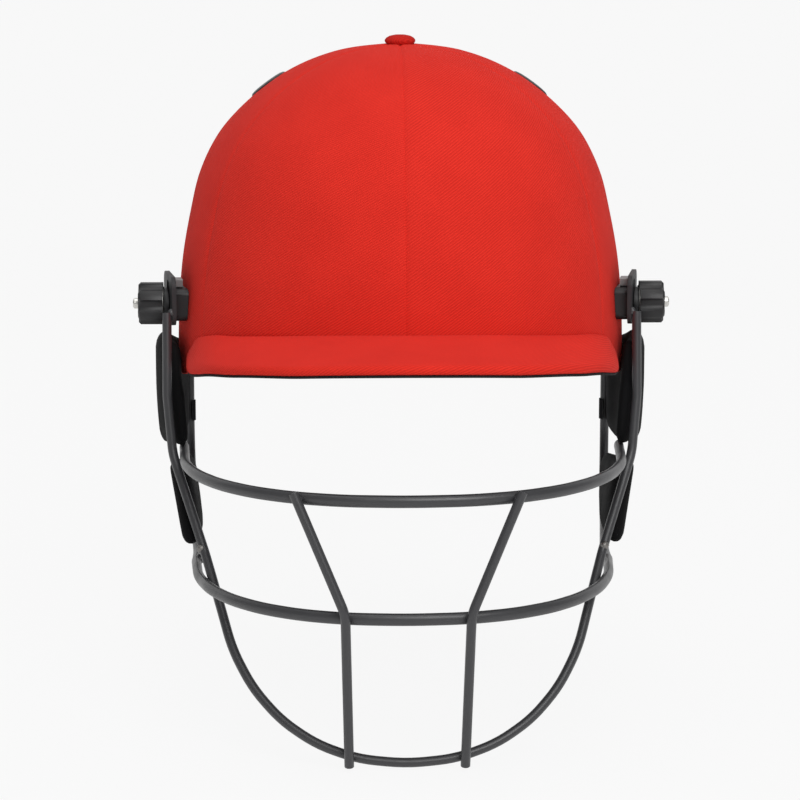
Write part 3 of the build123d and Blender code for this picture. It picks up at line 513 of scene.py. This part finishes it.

# %% [markdown]
# ## The button at the crown
# A small cap covered in the same twill hides the point where the six gores meet. Its twill is a darker copy of
# the cover's, which paints shade onto the whole button. It is turned like a lathe piece, from a profile that
# leans in under its edge, with shallow pleats where the cloth is gathered below.

# %% Turn the button
BUTTON_PROFILE = [(0.0, 5.0), (2.6, 4.9), (4.9, 4.4), (6.3, 3.6), (7.0, 2.7), (7.1, 2.0), (6.8, 1.3), (6.0, 0.5)]
button_rows = []
AROUND = 72
for r, z in BUTTON_PROFILE:
    row = []
    for k in range(AROUND):
        a = 2 * math.pi * k / AROUND
        pleat = 1 + 0.018 * math.cos(12 * a) * max(0.0, (r - 5.0) / 2.2)
        row.append(Vector((r * pleat * math.cos(a), r * pleat * math.sin(a), z)) * MM + Vector((0, 0, CROWN)))
    button_rows.append(row)
button = grid_piece(
    "crown_button_cover",
    button_rows,
    lambda i, j: (button_rows[i % 8][j % AROUND].x, button_rows[i % 8][j % AROUND].y),
    # the darker twill paints shade onto the button
    shaded_button_twill,
    close_columns=True,
)
turn_out(button, (0, 0, CROWN - 0.002))
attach(button, "shell")
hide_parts("crown_button")
print("button across:", 2 * 7.1, "mm")

# %% [markdown]
# ## The peak
# The peak is a stiff arched board in a cloth sleeve. Seen from above its edge is a flattened half oval, and
# from the front it arches down at both sides. Its section at any place is the same: a flat top that swells a
# little, a rounded nose and a flat underside. So it is a grid of sections, each running from the dome outward
# over the nose and back, one for each place along the edge. The top is red twill and the underside black.

# %% The peak's arch and outline
PEAK_HALF, PEAK_BACK, PEAK_FRONT, PEAK_POWER = 0.0995, -0.042, -0.168, 2.2
PEAK_ROOT, PEAK_SLOPE = 0.0014, math.radians(6.2)
RIM_ARCH = [(0.0, 0.0), (0.45, 0.032), (0.75, 0.102), (0.885, 0.166), (0.985, 0.27), (1.04, 0.36)]
ROOT_ARCH = [(0.0, 0.0), (0.45, 0.03), (0.75, 0.094), (0.88, 0.136), (0.945, 0.182), (0.985, 0.26), (1.04, 0.38)]
rim_arch, root_arch = (
    smooth_through([(x * PEAK_HALF, -z * PEAK_HALF) for x, z in arch], (1, 0), (0.55, -0.83))
    for arch in (RIM_ARCH, ROOT_ARCH)
)


def drop_of(arch, place):
    """How far an arch has come down at a distance from the middle."""
    for a, b in zip(arch, arch[1:]):
        if a.x <= place <= b.x:
            return a.y + (b.y - a.y) * (place - a.x) / (b.x - a.x)
    return arch[-1].y


def peak_top(x, y, share):
    """Height of the peak's upper face, where share goes from 0 at its root to 1 at its rim."""
    drop = drop_of(root_arch, abs(x)) * (1 - share) + drop_of(rim_arch, abs(x)) * share
    return PEAK_ROOT + (y + FRONT) * math.tan(PEAK_SLOPE) + drop / math.cos(PEAK_SLOPE)


def peak_edge(turn, inset):
    """A point of the peak's outline in plan, moved in from the edge."""
    half, depth = PEAK_HALF - inset, PEAK_BACK - PEAK_FRONT - inset
    across = math.copysign(abs(math.cos(turn)) ** (2 / PEAK_POWER), math.cos(turn))
    return Vector((half * across, PEAK_BACK - depth * math.sin(turn) ** (2 / PEAK_POWER)))


def peak_root(turn, out):
    """Where the peak meets the dome, in the same order as its outline."""
    first = math.asin(-PEAK_BACK / FRONT)
    share = turn / (math.pi / 2) if turn <= math.pi / 2 else (math.pi - turn) / (math.pi / 2)
    angle = first + (math.pi / 2 - first) * share
    x = (HALF_WIDTH + out) * math.cos(angle)
    return Vector((x if turn <= math.pi / 2 else -x, -(FRONT + out) * math.sin(angle)))


print(f"peak reaches {(-PEAK_FRONT - FRONT) / MM:.0f} mm beyond the dome")


# %% Sections of the peak
def peak_rows(part):
    """Rows of points across the peak, for its red cover or for its black underside."""
    rows, flat = [], []
    turns = [math.pi * k / 120 for k in range(121)]
    for turn in turns:
        rim, root = peak_edge(turn, 0.0), peak_root(turn, 0.0004)
        out = (rim - root).normalized() if (rim - root).length > 1e-6 else Vector((0, -1))
        length = (rim - root).length
        nose = min(0.0022, length * 0.45)
        row, spots = [], []
        if part == "cover":
            row.append((root - out * 0.001, 0.0016))
            row.append((root, 0.0005))
            for k in range(15):
                share = k / 14
                spot = root + out * (0.0008 + (length - nose - 0.0008) * share)
                swell = 0.0005 * math.sin(math.pi * min(1.0, share * 1.02)) ** 0.7
                row.append((spot, -swell))
            for angle in (25, 50, 75, 100, 125, 150):
                a = math.radians(angle)
                row.append((rim - out * nose * (1 - math.sin(a)), nose * (1 - math.cos(a))))
            row.append((rim - out * nose * 1.4, nose * 1.93))
            row.append((rim - out * min(0.006, length * 0.8), nose * 1.93))
        else:
            row.append((rim - out * min(0.006, length * 0.8), nose * 1.95 + 0.0004))
            row.append((rim - out * nose * 0.75, nose * 1.95 + 0.0001))
            row.append((rim - out * nose * 0.42, nose * 1.95 + 0.0004))
            row.append((rim - out * nose * 0.45, nose * 1.95 + 0.0010))
            row.append((rim - out * nose * 0.85, nose * 1.95 + 0.0013))
            for k in range(9):
                share = k / 8
                row.append((rim - out * (nose * 1.4 + (length - nose * 1.4) * share), nose * 1.95 + 0.0009))
        points = []
        for place, depth in row:
            share = min(1.0, max(0.0, (place - root).dot(out) / max(length, 0.004)))
            points.append(Vector((place.x, place.y, peak_top(place.x, place.y, share) - depth)))
        run = 0.0
        for k, point in enumerate(points):
            run += (point - points[k - 1]).length if k else 0.0
            spots.append((math.atan2(points[1].x, -points[1].y) * 0.13, run))
        rows.append(points)
        flat.append(spots)
    return rows, flat


rows, flat = peak_rows("cover")
peak_cover = grid_piece("peak_cover", rows, lambda i, j: (rows[i][4].x, -flat[i][j][1]), red_twill)
turn_out(peak_cover, (0, -0.1, -0.03))
under_rows, _ = peak_rows("underside")
peak_under = grid_piece(
    "peak_underside", under_rows, lambda i, j: (under_rows[i][j].x, under_rows[i][j].y), lining_cloth
)
turn_out(peak_under, (0, -0.12, 0.06))
for piece, names, slot_name in (
    (peak_cover, ("peak_cloth", "peak_board"), "red_cloth"),
    (peak_under, ("peak_lining",), "black_cloth"),
):
    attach(piece, "shell")
    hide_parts(*names)
print("peak points:", len(peak_cover.data.vertices) + len(peak_under.data.vertices))

# %% [markdown]
# ## Foam inside the shell
# Five thick foam pieces line the shell: a round one at the crown, one at the brow, one at the back and one at
# each side. They are slabs laid on the dome's inside with soft, rounded edges. One helper lays a slab between
# two directions and two distances down the profile, and closes it with a rounded wall.


# %% Lay a slab of foam on the dome
def slab_rows(low, high, top, foot, outer, inner, count=40, down_count=22, edge=0.004):
    """Rows of points round a slab: its outer face, its edge and its inner face, for each direction."""
    rows = []
    for k in range(count + 1):
        t = k / count
        a = math.radians(low + (high - low) * t)
        far = foot(a)
        width = on_dome(a, (top + far) / 2).to_2d().length * math.radians(abs(high - low))
        side = min(t, 1 - t) * width
        pinch = 1 - max(0.0, 1 - side / edge) ** 2
        middle, half = (outer + inner) / 2, (outer - inner) / 2 * (0.35 + 0.65 * math.sqrt(max(0.0, pinch)))
        near, last = top, far
        ring = []
        for m in range(down_count + 1):
            share = m / down_count
            end = min(share, 1 - share) * (last - near)
            round_off = math.sqrt(max(0.0, 1 - max(0.0, 1 - end / edge) ** 2))
            ring.append((near + (last - near) * share, middle + half * (0.3 + 0.7 * round_off)))
        for m in range(down_count, -1, -1):
            share = m / down_count
            end = min(share, 1 - share) * (last - near)
            round_off = math.sqrt(max(0.0, 1 - max(0.0, 1 - end / edge) ** 2))
            ring.append((near + (last - near) * share, middle - half * (0.3 + 0.7 * round_off)))
        rows.append([on_dome(a, down, lift) for down, lift in ring])
    return rows


def distance_at_height(a, height):
    """How far down the profile a height lies."""
    low, high = 0.0, along[-1]
    for _ in range(30):
        middle = (low + high) / 2
        low, high = (middle, high) if profile_at(middle).y > height else (low, middle)
    return low


def slab(name, node, low, high, top_z, rise, outer, inner, material, foot_z=None):
    """One slab of foam or cloth inside the shell."""
    top = distance_at_height(0.0, top_z)
    foot = (lambda a: distance_at_rim(a, rise)) if foot_z is None else (lambda a: distance_at_height(a, foot_z))
    rows = slab_rows(low, high, top, foot, outer, inner)
    piece = grid_piece(name, rows, lambda i, j: (i * 0.004, j * 0.004), material, close_columns=True, caps=True)
    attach(piece, "shell")
    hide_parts(node)
    return piece


OUTER, INNER = -0.0048, -0.0154
brow = slab("brow_foam", "brow_pad", -136.5, -43.5, 0.0795, 0.0035, OUTER, INNER, liner_foam)
rear = slab("rear_foam", "rear_pad", 45.5, 134.5, 0.0795, 0.0035, OUTER, INNER, liner_foam)
side_foams = [
    slab("side_foam_left", "side_pad_left", -40.5, 42.5, 0.0795, 0.0035, OUTER, INNER, liner_foam),
    slab("side_foam_right", "side_pad_right", 137.5, 220.5, 0.0795, 0.0035, OUTER, INNER, liner_foam),
]
print("slabs:", brow.name, rear.name, [s.name for s in side_foams])

# %% [markdown]
# The bolts pass through the side foams in round holes, cut here with a Boolean modifier and a cutter that is
# thrown away. The crown foam is a dished ring, and the sweatband a thin strip of towelling on the brow foam.

# %% Holes, crown foam and sweatband
BOLT_ROOM = 0.0108
for foam, side in zip(side_foams, (1, -1)):
    cutter_mesh = bpy.data.meshes.new("hole")
    cut = bmesh.new()
    turned = Matrix.Translation((side * 0.09, -0.030, 0.0025)) @ Matrix.Rotation(math.pi / 2, 4, "Y")
    bmesh.ops.create_cone(
        cut, cap_ends=True, segments=40, radius1=BOLT_ROOM, radius2=BOLT_ROOM, depth=0.06, matrix=turned
    )
    cut.to_mesh(cutter_mesh)
    cut.free()
    cutter = bpy.data.objects.new("hole", cutter_mesh)
    bpy.context.scene.collection.objects.link(cutter)
    hole = foam.modifiers.new("bolt hole", "BOOLEAN")
    hole.operation = "DIFFERENCE"
    hole.object = cutter
    bpy.context.view_layer.update()
    whole = bpy.data.meshes.new_from_object(foam.evaluated_get(bpy.context.evaluated_depsgraph_get()))
    foam.modifiers.clear()
    foam.data = whole
    bpy.data.objects.remove(cutter)
crown_rows = []
for k in range(96):
    a = 2 * math.pi * k / 96
    far = distance_at_height(a, 0.0848)
    ring = []
    for m in range(15):
        share = m / 14
        round_off = math.sqrt(max(0.0, 1 - max(0.0, 1 - min(share, 1 - share) / 0.12) ** 2))
        ring.append((0.0115 + (far - 0.0115) * share, round_off))
    face = [on_dome(a, down, -0.0101 + 0.0053 * (0.3 + 0.7 * r)) for down, r in ring]
    face += [on_dome(a, down, -0.0101 - 0.0053 * (0.3 + 0.7 * r)) for down, r in reversed(ring)]
    crown_rows.append(face)
crown = grid_piece(
    "crown_foam",
    crown_rows,
    lambda i, j: (i * 0.003, j * 0.003),
    liner_foam,
    close_rows=True,
    close_columns=True,
)
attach(crown, "shell")
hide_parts("crown_pad")
band = slab("sweat_band", "sweatband", -150.0, -30.0, 0.026, 0.004, -0.0158, -0.0176, towel_cloth)
print("crown foam and", band.name)

# %% [markdown]
# ## The guard's pads
# An ear pad and a jaw pad of black foam hang in the guard at each side. Each is a flat outline with a crowned
# thickness, thin and round at its edge. The outline is rounded at its corners first. Then rings shrink from it
# to the middle, and the thickness at each ring follows a quarter of an oval. The ear pad is wrapped round the
# dome's plan, and the jaw pad is flat but leans in.


# %% Rounded outline and crowned pad
def rounded(points, radius, steps=6):
    """A closed outline with its corners rounded."""
    smooth = []
    count = len(points)
    for i in range(count):
        before, corner, after = (Vector(points[j % count]) for j in (i - 1, i, i + 1))
        into, away = (before - corner), (after - corner)
        reach = min(radius, into.length * 0.45, away.length * 0.45)
        start, stop = corner + into.normalized() * reach, corner + away.normalized() * reach
        for k in range(steps + 1):
            t = k / steps
            smooth.append(start * (1 - t) ** 2 + corner * 2 * t * (1 - t) + stop * t * t)
    return smooth


def even(points, count):
    """The same closed outline with points at even distances."""
    closed = points + [points[0]]
    lengths = [0.0]
    for a, b in zip(closed, closed[1:]):
        lengths.append(lengths[-1] + (b - a).length)
    spread, k = [], 0
    for i in range(count):
        goal = lengths[-1] * i / count
        while lengths[k + 1] < goal:
            k += 1
        t = (goal - lengths[k]) / max(lengths[k + 1] - lengths[k], 1e-9)
        spread.append(closed[k].lerp(closed[k + 1], t))
    return spread


def pad_rows(outline, edge, place, half):
    """Rings from the middle of the outer face over the edge to the middle of the inner face."""
    centre = sum(outline, Vector((0, 0))) / len(outline)
    reach = min((p - centre).length for p in outline)
    rings = []
    inner_shares = [0.02, 0.18, 0.34, 0.5, 0.64, 0.76, 0.85, 0.92, 0.96, 0.985, 1.0]
    for share in inner_shares:
        far = (1 - share) * reach
        round_off = math.sqrt(max(0.0, 1 - max(0.0, 1 - far / edge) ** 2))
        rings.append((share, half * round_off))
    for share, rise in reversed(rings[:-1]):
        rings.append((share, -rise))
    return [[place(centre + (p - centre) * share, rise) for p in outline] for share, rise in rings]


print("pad helpers ready")

# %% The ear pads and jaw pads
EAR = [(-41.6, -14.5), (-2.6, -14.5), (44.1, -27.0), (45.0, -71.2), (27.7, -74.9), (-37.3, -60.95)]
EAR += [(-52.4, -60.95), (-47.6, -38.0), (-41.6, -29.0)]
PAD_MIDDLE, PAD_HALF = 0.00635, 0.0046


def ear_place(spot, rise):
    """Wraps the flat ear pad round the dome's plan."""
    y, z = spot.x, spot.y
    length = FRONT if y < 0 else REAR
    root = math.sqrt(max(0.0, 1 - (y / length) ** 2))
    flat = Vector((root / HALF_WIDTH, y / length**2, 0)).normalized()
    lower = min(1.0, max(0.0, (-0.034 - z) / 0.036))
    squeeze = 1 - 0.5 * lower**2
    lift = PAD_MIDDLE + (rise if rise < 0 else rise * squeeze)
    return Vector((HALF_WIDTH * root, y, z)) + flat * lift


PAD_SPOTS = 96
JAW_LEAN = math.radians(12.0)
JAW_TOP_X, JAW_TOP_Z, JAW_HALF = 0.1088, -0.06814, 0.00465
JAW = [(-53.9, 0.0), (24.4, -13.1), (34.1, -21.9), (6.8, -30.7), (-29.3, -36.5), (-74.5, -36.5)]


def jaw_place(spot, rise):
    """Puts the flat jaw pad on its leaning plane."""
    out = Vector((math.cos(JAW_LEAN), 0, -math.sin(JAW_LEAN)))
    up = Vector((math.sin(JAW_LEAN), 0, math.cos(JAW_LEAN)))
    corner = Vector((JAW_TOP_X, 0, JAW_TOP_Z)) - out * 0.00475
    back = min(1.0, max(0.0, (spot.x + 0.045) / 0.06))
    thin = 1 - 0.6 * back if rise < 0 else 1
    return corner + Vector((0, spot.x, 0)) + up * spot.y + out * rise * thin


def guard_pad(name, node, outline, radius, edge, place, half, side):
    """One pad of the guard, mirrored for the right side."""
    points = even(rounded([Vector(p) * MM for p in outline], radius), PAD_SPOTS)
    rows = pad_rows(points, edge, place, half)
    rows = [[Vector((p.x * side, p.y, p.z)) for p in row] for row in rows]
    piece = grid_piece(
        name,
        rows,
        lambda i, j: (rows[i][j % PAD_SPOTS].y, rows[i][j % PAD_SPOTS].z),
        pad_foam,
        close_columns=True,
        caps=True,
    )
    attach(piece, "grille")
    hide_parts(node)
    return piece


for side_name, side in (("left", 1), ("right", -1)):
    guard_pad("ear_foam_" + side_name, "ear_pad_" + side_name, EAR, 0.007, 0.0065, ear_place, PAD_HALF, side)
    guard_pad("jaw_foam_" + side_name, "jaw_pad_" + side_name, JAW, 0.005, 0.0035, jaw_place, JAW_HALF, side)
print("guard pads: 4")

# %% [markdown]
# ## Straps that tie the ear pads to the rear wire
# A short black band runs round the rear wire, and its two ends are sewn together against the pad. Its section
# from above is a ring with a tail, and it is thin, so it is a closed ribbon with a little thickness.

# %% Loop the straps
WIRE_X, WIRE_Y, STRAP_Z, STRAP_HALF = 0.102375, 0.050944, -0.063, 0.005
STRAP_EDGE = 0.0006
for side_name, side in (("left", 1), ("right", -1)):
    path = []
    for k in range(25):
        a = math.radians(-62 + 304 * k / 24)
        path.append((Vector((math.cos(a), math.sin(a))), 0.00275))
    outer = [Vector((WIRE_X, WIRE_Y)) + d * r for d, r in path]
    tail_y = 0.0453
    outer = [Vector((WIRE_X + 0.0013, tail_y))] + outer + [Vector((WIRE_X - 0.0013, tail_y))]
    inner = []
    for k, p in enumerate(outer):
        middle_y = max(p.y, WIRE_Y) if p.y < WIRE_Y - 0.003 else WIRE_Y
        toward = Vector((WIRE_X, middle_y)) - p
        inner.append(p + toward.normalized() * 0.00045)
    rows = []
    for z in (-STRAP_HALF, -STRAP_HALF + STRAP_EDGE, STRAP_HALF - STRAP_EDGE, STRAP_HALF):
        rows.append([Vector((side * p.x, p.y, STRAP_Z + z)) for p in outer])
    for z in (STRAP_HALF, STRAP_HALF - STRAP_EDGE, -STRAP_HALF + STRAP_EDGE, -STRAP_HALF):
        rows.append([Vector((side * p.x, p.y, STRAP_Z + z)) for p in inner])
    strap = grid_piece(
        "ear_strap_" + side_name, rows, lambda i, j: (j * 0.001, i * 0.002), lining_cloth, close_rows=True
    )
    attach(strap, "grille")
    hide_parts("pad_strap_" + side_name)
print("straps: 2")

# %% [markdown]
# ## The vents' frames
# Each frame is one black moulding that swells from a thin edge to a little over a millimetre, with six slanted
# slots. It is a closed grid of rings, like the pads, and the slots are cut by one Boolean with six bars. The
# right frame is the left one mirrored.

# %% Mould the vents
OVAL_SPOTS = 80
RINGS = [(0.05, 1.2), (0.35, 1.2), (0.6, 1.15), (0.8, 1.0), (0.92, 0.75), (0.975, 0.45)]
RINGS += [(1.0, 0.1), (1.0, -0.3), (0.9, -0.9), (0.8, -1.6), (0.5, -1.6), (0.05, -1.6)]
oval = [Vector((u * VENT_LONG, v * VENT_WIDE)) for u, v in ((1, 1), (-1, 1), (-1, -1), (1, -1))]
oval = even(rounded(oval, VENT_WIDE * 0.98), OVAL_SPOTS)
rows = [[on_dome_below(p * share, lift * MM) for p in oval] for share, lift in RINGS]
left_frame = grid_piece(
    "vent_frame_left",
    rows,
    lambda i, j: (rows[i][j % OVAL_SPOTS].y, rows[i][j % OVAL_SPOTS].x),
    moulded_black,
    close_columns=True,
    caps=True,
)
bars = bmesh.new()
for k in range(6):
    place = Vector(((k - 2.5) * 0.008, 0.0))
    basis = Matrix((vent_across, Vector((0, 1, 0)), vent_up)).transposed().to_4x4()
    turn = Matrix.Rotation(math.radians(-25), 4, "Z") @ Matrix.Diagonal((0.0115, 0.0032, 0.016, 1.0))
    bmesh.ops.create_cube(bars, matrix=Matrix.Translation(on_dome_below(place, 0.0)) @ basis @ turn)
bmesh.ops.recalc_face_normals(bars, faces=bars.faces)
bars_mesh = bpy.data.meshes.new("bars")
bars.to_mesh(bars_mesh)
bars.free()
cutter = bpy.data.objects.new("bars", bars_mesh)
bpy.context.scene.collection.objects.link(cutter)
slots = left_frame.modifiers.new("slots", "BOOLEAN")
slots.operation = "DIFFERENCE"
slots.object = cutter
bpy.context.view_layer.update()
left_mesh = bpy.data.meshes.new_from_object(left_frame.evaluated_get(bpy.context.evaluated_depsgraph_get()))
left_frame.modifiers.clear()
left_frame.data = left_mesh
bpy.data.objects.remove(cutter)
right_mesh = left_mesh.copy()
right_mesh.transform(Matrix.Diagonal((-1, 1, 1, 1)))
right_mesh.flip_normals()
right_frame = bpy.data.objects.new("vent_frame_right", right_mesh)
bpy.context.scene.collection.objects.link(right_frame)
for frame_piece, side_name in ((left_frame, "left"), (right_frame, "right")):
    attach(frame_piece, "shell")
    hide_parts("vent_" + side_name)
    print("vent frame", side_name, len(frame_piece.data.polygons), "faces")

# %% [markdown]
# ## Weld beads
# The wires of the guard are only laid against each other in the solid model. On the real guard each crossing is
# welded before the coating, which leaves a small uneven bead. The place of each bead is found from the two
# solids themselves, as the nearest points of their surfaces. The bead at the stays is given a lighter bare-metal
# finish: a painted highlight.

# %% Find each joint and lay its bead
# A lighter metallic finish for the bead at the stays: a painted highlight.
weld_highlight_finish = speckled("weld_highlight_finish", (0.22, 0.21, 0.20), 0.45, 0.0008, 0.00008, metallic=0.8)
JOINTS = [("top_bar", "upright"), ("second_bar", "upright"), ("chin_bar", "upright"), ("top_bar", "side_wire")]
JOINTS += [("second_bar", "ear_loop"), ("chin_bar", "side_wire")]
JOINTS += [("side_plate", "side_wire"), ("side_plate", "ear_loop")]


def nearest_place(first, second):
    """The point midway between two solids where they come closest, and how far apart they are."""
    tree = BVHTree.FromPolygons([first.matrix_world @ v.co for v in first.data.vertices],
                                [tuple(f.vertices) for f in first.data.polygons])
    best = (1.0, Vector())
    spots = [second.matrix_world @ v.co for v in second.data.vertices]
    for edge in second.data.edges:
        a, b = (spots[k] for k in edge.vertices)
        steps = max(1, int((b - a).length / 0.001))
        for k in range(steps):
            spot = a.lerp(b, k / steps)
            place, _, _, apart = tree.find_nearest(spot)
            if apart < best[0]:
                best = (apart, (place + spot) / 2)
    return best


def bead(name, place, radius, material):
    """A small uneven ball of weld."""
    mesh = bpy.data.meshes.new(name)
    ball = bmesh.new()
    bmesh.ops.create_icosphere(ball, subdivisions=3, radius=radius)
    for v in ball.verts:
        v.co = v.co * (1 + 0.14 * noise.noise(v.co * 900 + place * 400)) + place
    for face in ball.faces:
        face.smooth = True
    ball.to_mesh(mesh)
    ball.free()
    mesh.materials.append(material)
    piece = bpy.data.objects.new(name, mesh)
    bpy.context.scene.collection.objects.link(piece)
    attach(piece, "grille")


laid = 0
for side_name in ("left", "right"):
    for bar, wire in JOINTS:
        bar_name = bar + "_" + side_name if bar == "side_plate" else bar
        apart, place = nearest_place(nodes[bar_name], nodes[f"{wire}_{side_name}"])
        # the bead where the chin bar meets the stay gets the painted highlight finish
        highlighted_bead = (bar, wire) == ("chin_bar", "side_wire")
        size = 0.0023 if (bar, wire) == ("second_bar", "ear_loop") else 0.0020
        if apart < 0.0006:
            bead(f"weld_{bar}_{wire}_{side_name}", place, size, weld_highlight_finish if highlighted_bead else coated_steel)
            laid += 1
        else:
            print("no joint between", bar_name, "and", wire, round(apart / MM, 2), "mm")
print("weld beads:", laid)

# %% [markdown]
# ## Floor, light and camera
# The helmet is shown against plain white. The floor takes the object's shadow but looks nearly white to the
# camera, and the light is soft: two large lamps and a pale sky. The camera stands a metre and a half in front
# of the helmet, a little above it, and a long lens keeps the perspective calm.

# %% Floor and backdrop
low_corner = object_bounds()[0]
floor_z = low_corner.z - 0.0015
stage_mesh = bpy.data.meshes.new("studio_floor")
sweep = bmesh.new()
profile_points = [(-6.0, 0.0), (1.2, 0.0)]
bend_angles = [k * math.pi / 32 for k in range(1, 17)]
profile_points += [(1.2 + 1.2 * math.sin(a), 1.2 - 1.2 * math.cos(a)) for a in bend_angles]
profile_points += [(2.4, 5.0)]
edges = [[sweep.verts.new((x, y, floor_z + z)) for y, z in profile_points] for x in (-6.0, 6.0)]
for a, b, c, d in zip(edges[0], edges[0][1:], edges[1][1:], edges[1]):
    sweep.faces.new((a, d, c, b)).smooth = True
sweep.to_mesh(stage_mesh)
sweep.free()
studio_floor = bpy.data.objects.new("studio_floor", stage_mesh)
bpy.context.scene.collection.objects.link(studio_floor)
white, white_shader = finish_named("studio_white", (0.90, 0.90, 0.90), 0.95)
white_shader.inputs["Specular IOR Level"].default_value = 0.0
tree = white.node_tree
glow = add_node(white, "ShaderNodeEmission", {"Color": (0.958, 0.958, 0.958, 1.0), "Strength": 1.0})
ray = add_node(white, "ShaderNodeLightPath")
mirrored = add_node(
    white,
    "ShaderNodeMath",
    {"operation": "ADD"},
    {0: ray.outputs["Is Glossy Ray"], 1: ray.outputs["Is Transmission Ray"]},
)
direct = {0: ray.outputs["Is Camera Ray"], 1: mirrored.outputs["Value"]}
any_view = add_node(white, "ShaderNodeMath", {"operation": "ADD", "use_clamp": True}, direct)
seen = add_node(white, "ShaderNodeMath", {"operation": "MULTIPLY", 1: 0.95}, {0: any_view.outputs["Value"]})
both = {0: seen.outputs["Value"], 1: white_shader.outputs["BSDF"], 2: glow.outputs["Emission"]}
blended = add_node(white, "ShaderNodeMixShader", (), both)
tree.links.new(blended.outputs["Shader"], tree.nodes["Material Output"].inputs["Surface"])
stage_mesh.materials.append(white)
print(f"floor at {floor_z / MM:.1f} mm")


# %% Lamps and sky
def soft_lamp(name, place, aim, size, watts):
    """A large square lamp that points at a place."""
    lamp = bpy.data.lights.new(name, "AREA")
    lamp.shape = "SQUARE"
    lamp.size = size
    lamp.energy = watts
    holder = bpy.data.objects.new(name, lamp)
    bpy.context.scene.collection.objects.link(holder)
    holder.location = place
    holder.rotation_mode = "QUATERNION"
    holder.rotation_quaternion = (Vector(aim) - Vector(place)).to_track_quat("-Z", "Y")
    return holder


soft_lamp("key_lamp", (0.55, -1.85, 1.3), (0, -0.05, 0.0), 1.2, 26)
soft_lamp("top_lamp", (-0.1, -0.2, 1.9), (0, 0, 0.0), 1.5, 14)
sky = bpy.data.worlds.new("studio_sky")
bpy.context.scene.world = sky
sky.use_nodes = True
sky.node_tree.nodes["Background"].inputs["Color"].default_value = (0.95, 0.95, 0.95, 1.0)
sky.node_tree.nodes["Background"].inputs["Strength"].default_value = 0.345
bpy.context.scene.view_settings.view_transform = "Standard"
print("lamps: 2")

# %% Camera
AZIMUTH, ELEVATION, AWAY = math.radians(-1.3), math.radians(8.5), 1.5
back = Vector(
    (math.sin(AZIMUTH) * math.cos(ELEVATION), -math.cos(AZIMUTH) * math.cos(ELEVATION), math.sin(ELEVATION))
)
lens = bpy.data.cameras.new("photo_camera")
lens.sensor_width = 36.0
lens.lens = 36.0 * AWAY / 0.380
camera = bpy.data.objects.new("photo_camera", lens)
bpy.context.scene.collection.objects.link(camera)
bpy.context.scene.camera = camera
camera.location = back * AWAY
upright = Vector((0, 0, 1)) - back * back.z
aim = -upright.normalized() * 0.0484
camera.rotation_mode = "QUATERNION"
camera.rotation_quaternion = (aim - camera.location).to_track_quat("-Z", "Y")
print("lens", round(lens.lens, 1), "mm")
